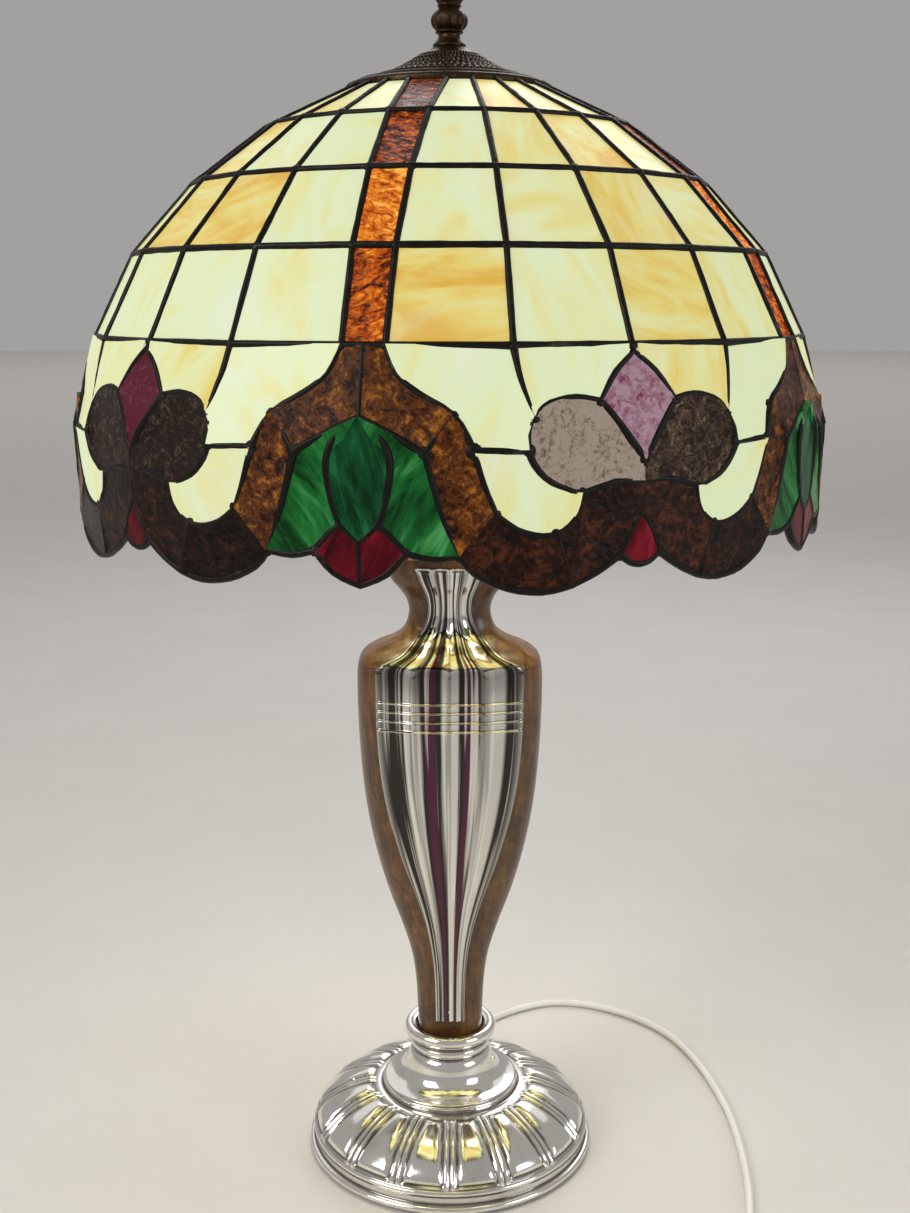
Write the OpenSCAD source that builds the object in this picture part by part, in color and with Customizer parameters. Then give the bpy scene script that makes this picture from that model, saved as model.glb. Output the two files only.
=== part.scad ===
// Table lamp: leaded glass dome shade on a silver plated and burr wood baluster stand.
// Millimetres, +Z up, origin at the middle of the face it stands on, front towards -Y.

/* [Shade] */
// Largest radius of the glass dome, at the bend above the skirt
shade_r = 203; // [190:1:215]
// Height of the bend above the table
bend_h = 445; // [430:1:460]
// Turn of the whole pattern about the stand, in degrees
shade_turn = -11; // [-36:1:36]
// Width of an amber strip
strip_w = 19.4; // [14:0.2:24]
// Thickness of the glass
glass_t = 2.6; // [2:0.1:4]
// Width of a soldered lead line
lead_w = 3.2; // [2.4:0.1:4.4]
// Depth of a soldered lead line
lead_d = 3.8; // [3:0.1:5]

/* [Column] */
// Half width of the wood at the shoulder
shoulder_w = 53.5; // [48:0.5:58]
// Share of the half width that the half depth takes
depth_share = 0.6; // [0.5:0.01:0.7]
// Depth of the flutes in the silver plates
flute_d = 2; // [0.5:0.1:3]
// Thickness of the silver plates
plate_t = 1.2; // [0.8:0.1:2]

/* [Base] */
// Outer radius of the lower bead
base_r = 86.6; // [80:0.2:95]
// Number of raised pillows round the base
pillows = 16; // [12:1:20]

/* [Fittings] */
// Radius of the threaded tube through the stand
tube_r = 5; // [4.5:0.1:5.5]
// Tilt of the bulb holders above level, in degrees
holder_tilt = 40; // [30:1:50]
// Diameter of the mains cord
cord_d = 4.6; // [4:0.1:5.5]
// Swing of the switch rocker, in degrees
rocker_swing = 14; // [8:1:18]

/* [Hidden] */
$fn = 64;
gap = 0.05;
bore_r = tube_r + gap;

// Dome: radius and height of each soldered ring, from the cap down to the bend
ring_r = [54, 98.6, 137.4, 169.3, 190.5, shade_r];
ring_h = [617, 596, 567, 531.5, 489, bend_h];
rows = 4;
columns = 4;
repeats = 5;
turn_step = 360 / repeats;
skirt_r = 201;
skirt_h = 375;

function unit(v) = v / norm(v);
function mix(a, b, t) = a + (b - a) * t;

// A point of the dome at an angle from the front, for a radius and a height
function polar(r, a, h) = [r * sin(a), -r * cos(a), h];

// Half angle that the amber strip takes at a radius
function strip_a(r) = asin(strip_w / 2 / r);

// Angle of seam j of a repeat on ring i: 0 and 4 are the sides of the strips
function seam_a(i, j) = let (s = strip_a(ring_r[i])) s + j * (turn_step - 2 * s) / columns;

// Radius of the skirt at a height
function skirt_at(h) = h > bend_h
    ? mix(shade_r, ring_r[4], (h - bend_h) / (ring_h[4] - bend_h))
    : mix(shade_r, skirt_r, (bend_h - h) / (bend_h - skirt_h));
function on_skirt(p, turn = 0, out = 0) = polar(skirt_at(p[1]) + out, p[0] + turn, p[1]);

// Solid skin through rings that have the same number of points each
module skin(rings, loop = false) {
    n = len(rings[0]);
    m = len(rings);
    sides = [for (i = [0 : m - (loop ? 1 : 2)], j = [0 : n - 1])
        let (a = i * n + j, b = i * n + (j + 1) % n, c = ((i + 1) % m) * n + (j + 1) % n, d = ((i + 1) % m) * n + j)
        each [[a, b, c], [a, c, d]]];
    caps = loop ? [] : [[for (j = [n - 1 : -1 : 0]) j], [for (j = [0 : n - 1]) (m - 1) * n + j]];
    polyhedron([for (r = rings) each r], concat(sides, caps));
}

// ---- Base ----

weight_r = 70;
weight_h = 14;
dome_lo = [83.6, 14];
dome_hi = [47, 36.5];

// Outer profile of the pillow band, between a straight slope and a quarter ellipse
function dome_pt(u, lift = 0) = let (
    round_pt = [dome_hi[0] + (dome_lo[0] - dome_hi[0]) * cos(u), dome_lo[1] + (dome_hi[1] - dome_lo[1]) * sin(u)],
    flat_pt = mix(dome_lo, dome_hi, u / 90),
    p = mix(flat_pt, round_pt, 0.6))
    p + lift * unit([dome_lo[0] - p[0] + 30, p[1] + 10]);

module felt_pad() {
    color("darkgreen")
    linear_extrude(1.2) difference() {
        circle(80);
        circle(14);
    }
}

module base_shell() {
    wall = 1.3;
    bead = 2;
    profile = concat(
        [[30, 40.6], [40.4, 40.6], [41.2, 39.8], [41.2, 37], [44, 36.5]],
        [for (u = [90 : -15 : 0]) dome_pt(u)],
        [[83.6, 12], [83.6, 2.6], [83.6 - wall, 2.6], [83.6 - wall, 12]],
        [for (u = [0 : 15 : 90]) dome_pt(u) - [wall, wall]],
        [[40, 36], [39.9, 39.3], [30, 39.3]]);
    color("silver") union() {
        rotate_extrude() polygon(profile);
        rotate_extrude() translate([base_r - bead, 1.2 + bead]) circle(bead, $fn = 24);
        rotate_extrude() translate([84.2 - 1.8, 12.2]) circle(1.8, $fn = 24);
        pad = concat([for (u = [84 : -12 : 12]) dome_pt(u, 1.4)], [for (u = [12 : 12 : 84]) dome_pt(u, -0.4)]);
        for (k = [0 : pillows - 1])
            rotate([0, 0, -90 + (k + 0.5) * 360 / pillows - 7.2]) rotate_extrude(angle = 14.4) polygon(pad);
    }
}

module base_weight() {
    color("dimgray") difference() {
        translate([0, 0, 1.4]) cylinder(r = weight_r, h = weight_h);
        translate([0, 0, 1]) cylinder(r = 13, h = 7.4);
        cylinder(r = bore_r, h = 30);
    }
}

module base_washer() {
    color("gainsboro") translate([0, 0, 7]) difference() {
        cylinder(r = 11, h = 1.2);
        translate([0, 0, -1]) cylinder(r = bore_r, h = 4);
    }
}

module hex_nut(z, across = 16, h = 4) {
    translate([0, 0, z]) difference() {
        cylinder(r = across / 2 / cos(30), h = h, $fn = 6);
        translate([0, 0, -1]) cylinder(r = bore_r, h = h + 2);
    }
}

module base_nut() {
    color("goldenrod") hex_nut(2.8);
}

// Turned bell and collar that seats the foot of the wood
relief_h = 52;
relief_end = 56;
module bell_collar() {
    bell = [
        [40, 40.8], [40.6, 41.6], [39.8, 42.4], [34.5, 43.4], [30, 45.6], [27.2, 49.4], [25.9, 54], [24.6, 58.2],
        [22.8, 61], [23.4, 62.6], [23.8, 64.6], [23, 66.6], [22.6, 67.6], [24.4, 69.4]];
    torus = [for (a = [-50 : 20 : 130]) [24.6 + 3.1 * cos(a), 73.4 + 3.6 * sin(a)]];
    seat = [[21.4, 75.8], [20.8, 70], [20, 68], [14, 68]];
    hollow = [[14, 58], [19.5, 56], [22, 50], [26, 44], [30, 40.8]];
    color("silver") difference() {
        rotate_extrude() polygon(concat(bell, torus, seat, hollow));
        translate([0, 0, relief_h]) rotate([-90, 0, 0]) cylinder(r = 4.2, h = 31);
    }
}

// ---- Wood column and its silver plates ----

// Height and half width down the wood, from foot to lip
column_pts = [
    [68.2, 19.3], [92, 19.8], [110, 21], [126, 23.6], [145, 29.4], [168, 37.4], [195, 44.6], [225, 49.8],
    [258, 52.6], [288, 53.5], [302, 53], [308, 50.6], [312.5, 44], [317, 34], [323, 26.6], [333, 23.5],
    [341, 25], [347, 29], [352, 33.2], [358, 35.6], [364, 36], [367, 35]];
wood_scale = shoulder_w / 53.5;
function half_depth(w) = depth_share * w + 3.5;

// Rounded rectangle of exponent 3, as a function of the angle about the column
function squircle(w, d, a) = let (c = cos(a), s = sin(a))
    [w * sign(c) * pow(abs(c), 2 / 3), d * sign(s) * pow(abs(s), 2 / 3)];
function wood_ring(p, n) = [for (k = [0 : n - 1])
    let (q = squircle(p[1] * wood_scale, half_depth(p[1] * wood_scale), 360 * k / n)) [q[0], q[1], p[0]]];

module wood_column() {
    color("peru") difference() {
        skin([for (p = column_pts) wood_ring(p, 40)]);
        translate([0, 0, 60]) cylinder(r = 6, h = 320);
    }
}

// Height, half width of a plate, and half width of the wood there
plate_pts = [
    [84, 8.6, 19.7], [100, 8.9, 20.2], [118, 9.7, 22.3], [134, 11.6, 26], [150, 14.8, 31.2], [166, 19.4, 36.8],
    [182, 24.6, 41.4], [200, 30, 45.7], [220, 35.2, 49.2], [242, 39, 51.5], [268, 41.2, 53], [292, 41.6, 53.5],
    [305, 41.2, 52.2], [308, 37.8, 50.6], [313, 27.6, 43], [320, 20.4, 29.6], [328, 14.6, 24.4], [336, 12.4, 23.8],
    [345, 13.2, 27.6], [353, 16.4, 33.6], [362, 19.8, 36]];

// Front of the wood at a distance x from the middle, for a half width of the wood
function wood_front(x, w) = half_depth(w) * pow(max(0, 1 - pow(abs(x) / w, 3)), 1 / 3);

// Four flutes: 1 on the ridges between them and 0 at the bottom of each
function ridge(t) = let (f = abs(2 * t) % 1) 1 - 4 * f * (1 - f);
flute_pts = 12;
function plate_ring(p) = let (
    flute = min(flute_d, p[1] / 6),
    front = [for (k = [0 : flute_pts]) let (t = 2 * k / flute_pts - 1, x = t * p[1])
        [x, -wood_front(x, p[2]) - plate_t + flute * (1 - ridge(t)) * 0.5 - 1, p[0]]])
    concat(front, [for (k = [flute_pts : -1 : 0]) front[k] + [0, plate_t, 0]]);

module plate() {
    skin([for (p = plate_pts) plate_ring(p)]);
}

module front_plate() {
    color("silver") plate();
}

module back_plate() {
    color("silver") rotate([0, 0, 180]) plate();
}

// Four small round headed pins hold each plate at its foot and lip
module plate_pins() {
    color("silver") for (side = [0, 180]) rotate([0, 0, side])
        for (p = [[90, 13.9], [357, 23.5]])
            translate([0, -p[1] - 3.4, p[0]]) rotate([-90, 0, 0]) cylinder(r = 1, h = 10);
}

// ---- Inside: rods, nuts, cluster, holders and bulbs ----

module column_rod() {
    color("darkkhaki") difference() {
        translate([0, 0, 2]) cylinder(r = tube_r, h = 418);
        cylinder(r = tube_r - 1.4, h = 430);
    }
}

module column_cap() {
    color("goldenrod") translate([0, 0, 367.2]) difference() {
        rotate_extrude() polygon([[0, 0], [22, 0], [22, 2], [19, 4.5], [12, 6], [0, 6]]);
        translate([0, 0, -1]) cylinder(r = bore_r, h = 10);
    }
}

module cap_nut() {
    color("goldenrod") hex_nut(373.4);
}

cluster_h = 424;
module cluster_body() {
    color("goldenrod") difference() {
        union() {
            translate([0, 0, cluster_h - 20]) rotate_extrude()
                polygon([[0, 0], [12, 0], [19, 5], [21, 12], [21, 26], [17, 34], [10, 38], [0, 38]]);
        }
        translate([0, 0, cluster_h - 21]) cylinder(r = bore_r, h = 17.5);
        translate([0, 0, cluster_h + 1]) cylinder(r = bore_r, h = 20);
        for (side = [0, 180]) rotate([0, 0, side]) holder_axis() cylinder(r = 4.55, h = 30);
    }
}

// Frame of a bulb holder: its own Z runs out along the arm, towards +X
module holder_axis() {
    translate([0, 0, cluster_h]) rotate([0, 90 - holder_tilt, 0]) translate([0, 0, 12]) children();
}

module both_holders() {
    for (side = [0, 180]) rotate([0, 0, side]) holder_axis() children();
}

module holder_arms() {
    color("goldenrod") both_holders() difference() {
        cylinder(r = 4.5, h = 21);
        translate([0, 0, -1]) cylinder(r = 3.2, h = 30);
    }
}

// Holder: brass cup over the arm, with the insulated insert inside it
module holder_shells() {
    color("goldenrod") both_holders() difference() {
        translate([0, 0, 15]) rotate_extrude()
            polygon([[4.55, 0], [9, 0], [16, 5], [18, 10], [18, 48], [17, 48], [17, 11], [15, 6.4], [9, 1.4], [4.55, 1.4]]);
    }
}

module holder_inserts() {
    color("white") both_holders() translate([0, 0, 22.4]) difference() {
        cylinder(r = 14.8, h = 38);
        translate([0, 0, 8]) cylinder(r = 13.6, h = 40);
    }
}

module bulb_caps() {
    color("lightgray") both_holders() translate([0, 0, 32]) difference() {
        rotate_extrude() polygon([[0, 0], [5, 0], [8, 3], [13.2, 6], [13.2, 28], [0, 28]]);
    }
}

module bulb_globes() {
    color("ivory") both_holders() translate([0, 0, 60.2]) rotate_extrude()
        polygon(concat([[0, 0], [13.4, 0], [14.4, 10], [20, 24]],
            [for (a = [-30 : 12 : 90]) [30 * cos(a), 46 + 30 * sin(a)]]));
}

module shade_riser() {
    color("darkkhaki") difference() {
        translate([0, 0, cluster_h + 1.2]) cylinder(r = tube_r, h = 617 - cluster_h - 1.2);
        translate([0, 0, cluster_h]) cylinder(r = tube_r - 1.4, h = 300);
    }
}

// Hexagonal coupler that steps the riser down to the finial's stud
module riser_coupler() {
    color("goldenrod") translate([0, 0, 608]) difference() {
        cylinder(r = 8, h = 17, $fn = 6);
        translate([0, 0, -1]) cylinder(r = bore_r, h = 10.2);
        translate([0, 0, 5]) cylinder(r = 3 + gap, h = 30);
    }
}

module finial_stud() {
    color("darkkhaki") translate([0, 0, 617.4]) cylinder(r = 3, h = 34);
}

// Wheel that carries the shade's ring: hub, three arms and a rim
wheel_z = 600;
module support_wheel() {
    color("goldenrod") translate([0, 0, wheel_z]) difference() {
        union() {
            cylinder(r = 9, h = 4);
            difference() {
                cylinder(r = 50, h = 3);
                translate([0, 0, -1]) cylinder(r = 43, h = 6);
            }
            for (k = [0 : 2]) rotate([0, 0, 120 * k + 30]) translate([7, -4, 0]) cube([38, 8, 3]);
        }
        translate([0, 0, -1]) cylinder(r = bore_r, h = 8);
    }
}

module wheel_nuts() {
    color("goldenrod") {
        hex_nut(wheel_z - 4.2);
        hex_nut(wheel_z + 4.2, 15, 3.2);
    }
}

// ---- Shade ironwork ----

module shade_ring() {
    color("goldenrod") difference() {
        translate([0, 0, 603.2]) cylinder(r = 52, h = 10);
        translate([0, 0, 605.4]) cylinder(r = 50.6, h = 20);
        translate([0, 0, 600]) cylinder(r = 45, h = 20);
    }
}

cap_holes = 24;
module vase_cap() {
    outer = [[3.08, 639], [9, 639], [11, 637.6], [17, 634.4], [27, 628.6], [39, 623.4], [50.5, 620.2], [55.5, 618.6]];
    under = [[55.5, 614.6], [54.3, 614.6], [54.3, 617.2], [50, 618.8], [38, 622], [26, 627.2], [16, 633],
        [10, 636.2], [3.08, 637.4]];
    color("saddlebrown") difference() {
        rotate_extrude() polygon(concat(outer, under));
        for (k = [0 : cap_holes - 1]) rotate([0, 0, k * 360 / cap_holes])
            translate([27, 0, 615]) cylinder(r = 1.8, h = 25);
    }
}

module finial_bush() {
    color("goldenrod") translate([0, 0, 639.2]) difference() {
        cylinder(r = 4.4, h = 12);
        translate([0, 0, -1]) cylinder(r = 3.06, h = 20);
    }
}

// Cast finial: radius and height of its turnings, over the bush
module finial() {
    turning = [
        [4.45, 639.2], [8.6, 639.2], [8.7, 640.4], [7, 642.4], [5.8, 645], [6.2, 646.6], [8.6, 648.6], [9.7, 651.4],
        [9.6, 654], [8, 656.6], [5.9, 658.4], [5.8, 659.8], [7.2, 661.6], [8, 664.6], [8, 668], [6.8, 672],
        [5, 675], [4.6, 677], [5.6, 678.6], [5.4, 681], [3.6, 684], [1.6, 686.4], [0, 687.4], [0, 652], [4.45, 652]];
    color("saddlebrown") rotate_extrude() polygon(turning);
}

// ---- Glass rows ----

inset = 1;
// Flat pane between four corners, in from their soldered lines by the inset
module pane(a, b, c, d) {
    function corner(p, q, r) = p + inset * (unit(q - p) + unit(r - p));
    outer = [corner(a, b, d), corner(b, a, c), corner(c, b, d), corner(d, a, c)];
    inward = glass_t * unit(cross(c - a, d - b));
    skin([outer, [for (p = outer) p + inward]]);
}

function ring_at(i, a) = polar(ring_r[i], a, ring_h[i]);

// Top corner of a pane of row i: the first row starts below the cap's rim
top_cut = 0.08;
function top_at(i, a, b) = mix(ring_at(i, a), ring_at(i + 1, b), i == 0 ? top_cut : 0);

module glass_row(i) {
    for (k = [0 : repeats - 1], j = [0 : columns - 1])
        let (t = shade_turn + k * turn_step)
        pane(top_at(i, t + seam_a(i, j), t + seam_a(i + 1, j)), top_at(i, t + seam_a(i, j + 1), t + seam_a(i + 1, j + 1)),
            ring_at(i + 1, t + seam_a(i + 1, j + 1)), ring_at(i + 1, t + seam_a(i + 1, j)));
}

module cream_row_1() { color("lemonchiffon") glass_row(0); }
module cream_row_2() { color("lemonchiffon") glass_row(1); }
module cream_row_3() { color("lemonchiffon") glass_row(2); }
module cream_row_4() { color("lemonchiffon") glass_row(3); }

module amber_strips() {
    color("darkorange") for (k = [0 : repeats - 1], i = [0 : rows - 1])
        let (t = shade_turn + k * turn_step, s = strip_a(ring_r[i]), u = strip_a(ring_r[i + 1]))
        pane(top_at(i, t - s, t - u), top_at(i, t + s, t + u), ring_at(i + 1, t + u), ring_at(i + 1, t - u));
}

// ---- Skirt pattern ----
// Each line is [angle from the middle of a strip, height above the table]. Half of a repeat is
// drawn, from the strip at 0 to the pansy at 36, and both sides of it are mirrors.

side_a = strip_a(ring_r[4]);
top_h = ring_h[4];
first_seam = side_a + (turn_step - 2 * side_a) / columns;
branch_out = [[side_a, top_h], [4.6, 477], [7.4, 469], [11.6, 460], [14, bend_h + 1], [15.4, 431], [16.8, 418]];
scroll_in = [[16.8, 418], [19.4, 411], [22.6, 408], [25.2, 410.5], [27, 418], [27.6, 426.6]];
branch_in = [[0, 459], [3.2, 454], [8.2, 444.5]];
branch_leg = [[8.2, 444.5], [9.2, 431], [10.5, 416], [12.4, 400]];
bud_side = [[0, 459], [2.8, 451], [4, 440], [3.5, 425], [2.3, 413], [0, 405.5]];
petal_side = [[2.3, 413], [3.7, 409], [5.8, 401]];
tulip_foot = [[5.8, 401], [3.3, 391.5], [0, 386]];
leaf_foot = [[5.8, 401], [9, 398.5], [12.4, 400]];
scroll_foot = [[12.4, 400], [14.4, 392], [18.4, 385.4], [22.8, 383.2], [26.6, 385.5]];
lip_foot = [[26.6, 385.5], [30, 391], [33.2, 398.4]];
ruby_foot = [[33.2, 398.4], [34.6, 394.4], [36, 393.2]];
ruby_side = [[36, 417], [34.4, 408], [33.2, 398.4]];
top_side = [[36, 486], [33, 477.5], [30.5, 465.4]];
top_foot = [[30.5, 465.4], [33.2, 454], [36, 439.5]];
petal_round = [[30.5, 465.4], [27.2, 467], [23.8, 464.8], [21.6, 459], [20.7, 451], [21, 442], [22.8, 433.4],
    [25.4, 428.4], [27.6, 426.6], [32, 430.6], [36, 430.4]];
seam = [[first_seam, top_h], [20, 478], [20.8, 468], [21.6, 459]];

function backwards(l) = [for (i = [len(l) - 1 : -1 : 0]) l[i]];
function tail(l) = [for (i = [1 : len(l) - 1]) l[i]];
// Lines joined end to end into one closed outline
function join(lines) = [for (l = lines) each tail(l)];
function mirrored(l, about = 0) = [for (p = backwards(l)) [2 * about - p[0], p[1]]];
function slice(l, from, to) = [for (i = [from : to]) l[i]];

// A flat piece of glass: its outline is laid on the plane that touches the skirt at its middle
module skirt_piece(outline, turn) {
    a_all = [for (p = outline) p[0]];
    h_all = [for (p = outline) p[1]];
    a_mid = (min(a_all) + max(a_all)) / 2;
    h_mid = (min(h_all) + max(h_all)) / 2;
    r_top = skirt_at(max(h_all));
    r_low = skirt_at(min(h_all));
    lean = atan2(r_low - r_top, max(h_all) - min(h_all));
    half_span = (max(a_all) - min(a_all)) / 2;
    r_mid = (r_top + r_low) / 2 - skirt_r * (1 - cos(half_span)) / 2;
    flat_pts = [for (p = outline) [skirt_at(p[1]) * sin(p[0] - a_mid), (p[1] - h_mid) / cos(lean)]];
    rotate([0, 0, turn + a_mid]) translate([0, -r_mid, h_mid]) rotate([90 - lean, 0, 0])
        translate([0, 0, -glass_t / 2]) linear_extrude(glass_t) offset(delta = -inset) polygon(flat_pts);
}

// The same piece in every repeat, with its mirror on the other side where it has one
module each_repeat(outline, pair = true) {
    for (k = [0 : repeats - 1]) {
        turn = shade_turn + k * turn_step;
        skirt_piece(outline, turn);
        if (pair) skirt_piece(mirrored(outline), turn);
    }
}

module cream_skirt() {
    bend_side = [14.1, bend_h];
    color("lemonchiffon") {
        each_repeat(concat(slice(branch_out, 0, 3), [bend_side, [20.8, bend_h], [20.7, 451]], backwards(slice(seam, 0, 3))));
        each_repeat(concat(backwards(seam), [[35.4, top_h]], tail(top_side), tail(slice(petal_round, 0, 3))));
        each_repeat(concat([[20.8, bend_h]], [bend_side], slice(branch_out, 5, 6), tail(scroll_in),
            backwards(slice(petal_round, 5, 7))));
    }
}

module branch_glass() {
    color("sienna") {
        each_repeat(concat([[0, top_h]], slice(branch_out, 0, 3), backwards(branch_in)));
        each_repeat(concat(slice(branch_out, 3, 6), backwards(branch_leg)));
    }
}

module scroll_glass() {
    color("maroon") each_repeat(concat(slice(scroll_in, 0, 3), backwards(scroll_foot)));
}

module leaf_glass() {
    color("green") each_repeat(concat([[1.2, 457]], tail(branch_in), tail(branch_leg), tail(backwards(leaf_foot)),
        tail(backwards(petal_side)), tail(backwards(slice(bud_side, 1, 4)))));
}

module bud_glass() {
    color("darkgreen") each_repeat(concat(bud_side, tail(mirrored(bud_side))), false);
}

module tulip_glass() {
    color("darkred") each_repeat(concat(slice(bud_side, 4, 5), backwards(tulip_foot), slice(backwards(petal_side), 1, 1)));
}

module pansy_tops() {
    half = concat(top_side, tail(top_foot));
    color("rosybrown") each_repeat(concat(half, slice(mirrored(half, 36), 1, len(half) - 2)), false);
}

module pansy_petals() {
    color("rosybrown") each_repeat(concat(petal_round, backwards(tail(top_foot))));
}

module pansy_lips() {
    color("maroon") each_repeat(concat(slice(scroll_in, 3, 5), slice(petal_round, 9, 10), ruby_side,
        tail(backwards(lip_foot))));
}

module ruby_drops() {
    half = concat(ruby_side, tail(ruby_foot));
    color("crimson") each_repeat(concat(half, slice(mirrored(half, 36), 1, len(half) - 2)), false);
}

// ---- Lead lines ----

// A square lead line along points of the dome
module lead(points, loop = false, w = lead_w, d = lead_d) {
    n = len(points);
    skin([for (i = [0 : n - 1]) let (
        p = points[i],
        before = loop ? points[(i + n - 1) % n] : points[max(i - 1, 0)],
        after = loop ? points[(i + 1) % n] : points[min(i + 1, n - 1)],
        out = unit([p[0], p[1], norm([p[0], p[1]]) * (p[2] > bend_h ? 0.8 : 0.02)]),
        side = unit(cross(after - before, out)))
        [for (c = [[1, 1], [-1, 1], [-1, -1], [1, -1]]) p + side * c[0] * w / 2 + out * c[1] * d / 2 - out]], loop);
}

// The top line is wide enough to reach the glass from under the cap's rim
top_lead_w = 9.4;
module lead_rings() {
    color("dimgray") for (i = [0 : rows])
        lead([for (k = [0 : repeats - 1], j = [0 : columns])
            ring_at(i, shade_turn + k * turn_step + seam_a(i, j))], true, i == 0 ? top_lead_w : lead_w);
}

module lead_ribs() {
    color("dimgray") for (k = [0 : repeats - 1], j = [0 : columns])
        lead([for (i = [0 : rows]) ring_at(i, shade_turn + k * turn_step + seam_a(i, j))]);
}

// A line and its mirror about the middle of the strip, or of the pansy, as one line or one loop
function over_strip(l) = concat(mirrored(l), tail(l));
function over_pansy(l) = concat(l, tail(mirrored(l, 36)));
function closed_by(l, about) = concat(l, slice(mirrored(l, about), 1, len(l) - 2));
paired_lines = [concat(branch_out, tail(scroll_in)), branch_leg, petal_side, seam,
    [[14.1, bend_h], [20.8, bend_h]], [[11.6, 460], [8.2, 444.5]], [[16.8, 418], [12.4, 400]],
    [[24.4, 409.4], [26.6, 385.5]]];
middle_lines = [[[0, top_h], [0, 459]], [[0, 405.5], [0, 386]], [[36, 439.5], [36, 417]],
    over_strip(branch_in), over_pansy(petal_round), over_pansy(backwards(ruby_side))];
loop_lines = [closed_by(bud_side, 0), closed_by(concat(top_side, tail(top_foot)), 36)];
rim_half = concat(backwards(tulip_foot), tail(leaf_foot), tail(scroll_foot), tail(lip_foot), tail(ruby_foot));

// Lines differ a little in depth, so that no two faces lie in one plane where they meet
depth_step = 0.17;
module skirt_lead(l, turn, i, loop = false) {
    lead([for (p = l) on_skirt(p, turn)], loop, lead_w - 0.4, lead_d - depth_step * i);
}

module lead_skirt() {
    color("dimgray") for (k = [0 : repeats - 1]) {
        turn = shade_turn + k * turn_step;
        for (i = [0 : len(paired_lines) - 1]) {
            skirt_lead(paired_lines[i], turn, i % 4);
            skirt_lead(mirrored(paired_lines[i]), turn, i % 4);
        }
        for (i = [0 : len(middle_lines) - 1]) skirt_lead(middle_lines[i], turn, 4 + i % 3);
        for (i = [0, 1]) skirt_lead(loop_lines[i], turn, 7 + i, true);
    }
}

module lead_rim() {
    half = rim_half;
    whole = concat(half, tail(mirrored(half, 36)));
    color("dimgray") lead([for (k = [0 : repeats - 1], p = slice(whole, 0, len(whole) - 2))
        on_skirt(p, shade_turn + k * turn_step)], true);
}

// ---- Cord, switch and plug ----

cord_r = cord_d / 2;
// Middle line of the cord, from the strain relief to the switch
cord_route = [
    [0, relief_end, relief_h], [0, 63, 51.4], [0.4, 71, 48.6], [1.2, 79, 43.4], [2.4, 87, 36], [4, 94, 27], [6, 100.4, 17.6],
    [8.6, 107.4, 9], [12, 116, 4], [17, 125, 2.6], [25, 136, 2.6], [37, 147, 2.6], [54, 158, 2.6], [74, 165, 2.6],
    [96, 163, 2.6], [118, 153, 2.6], [137, 138, 2.6], [152, 119, 2.6], [162, 97, 2.6], [169, 72, 2.6],
    [174, 44, 2.6], [177, 14, 2.6], [177, -18, 2.6], [175, -50, 2.6], [171, -80, 2.6], [164, -106, 2.6],
    [153, -128, 3], [141, -141, 5], [132, -147.5, 7]];
switch_mid = [109, -161, 0];
switch_yaw = 30;
cord_link_route = [[86, -174.3, 7], [81.4, -177, 6.3], [76.9, -179.7, 5], [72.3, -182.4, 3.8], [67.8, -185.1, 3],
    [63.2, -187.8, 2.7], [58.9, -190.3, 2.6]];
coil_mid = [41.7, -160.5, 0];
coil_r = 27.5;
coil_w = 18.4;
coil_h = 9.4;
cord_end_route = [[15.5, -182.5, 7.2], [11, -176.6, 7], [7, -170, 6.4], [3.6, -163.2, 4.8], [0.5, -157.1, 3.4],
    [-2.4, -151.4, 2.7], [-5.1, -146.1, 2.7], [-7, -143.6, 3], [-9.3, -141.5, 3.5], [-11.9, -139.9, 4.2],
    [-14.9, -138.9, 4.9], [-17.9, -138.4, 5.6], [-21, -138.4, 6], [-24, -138.4, 6]];
plug_at = [-24, -138.4, 0];

// Round tube along a route that is mostly level
module cord_tube(route, r = cord_r, sides = 8) {
    n = len(route);
    skin([for (i = [0 : n - 1]) let (
        way = unit(route[min(i + 1, n - 1)] - route[max(i - 1, 0)]),
        side = unit(cross(way, [0, 0, 1])),
        up = cross(side, way))
        [for (k = [0 : sides - 1]) route[i] + r * (cos(360 * k / sides) * side + sin(360 * k / sides) * up)]]);
}

// Extra points between the hand chosen ones, on a smooth curve through them
function spline(p, steps) = let (n = len(p)) concat([for (i = [0 : n - 2], s = [0 : steps - 1]) let (
    t = s / steps, a = p[max(i - 1, 0)], b = p[i], c = p[i + 1], d = p[min(i + 2, n - 1)])
    0.5 * (2 * b + t * (c - a) + t * t * (2 * a - 5 * b + 4 * c - d) + t * t * t * (3 * b - a - 3 * c + d))],
    [p[n - 1]]);

module cord() { color("white") cord_tube(spline(cord_route, 2)); }
module cord_link() { color("white") cord_tube(cord_link_route); }
module cord_end() { color("white") cord_tube(cord_end_route); }

// Tapered sleeve that leads the cord out of the back of the bell
module strain_relief() {
    color("white") translate([0, 0, relief_h]) rotate([-90, 0, 0]) {
        translate([0, 0, 20.6]) cylinder(r = 4.15, h = 10);
        translate([0, 0, 30.6]) cylinder(r1 = 5, r2 = 3.1, h = relief_end - 30.6);
    }
}

module cord_coil() {
    color("white") translate(coil_mid) rotate_extrude()
        translate([coil_r - coil_w / 2, 0.2]) square([coil_w, coil_h]);
}

// Frame of the inline switch: X along the cord
module at_switch() {
    translate(switch_mid) rotate([0, 0, switch_yaw]) children();
}

switch_l = 54;
switch_w = 26;
module switch_outline(l = switch_l, w = switch_w) {
    intersection() {
        circle(l / 2);
        square([l, w], center = true);
    }
}

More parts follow.
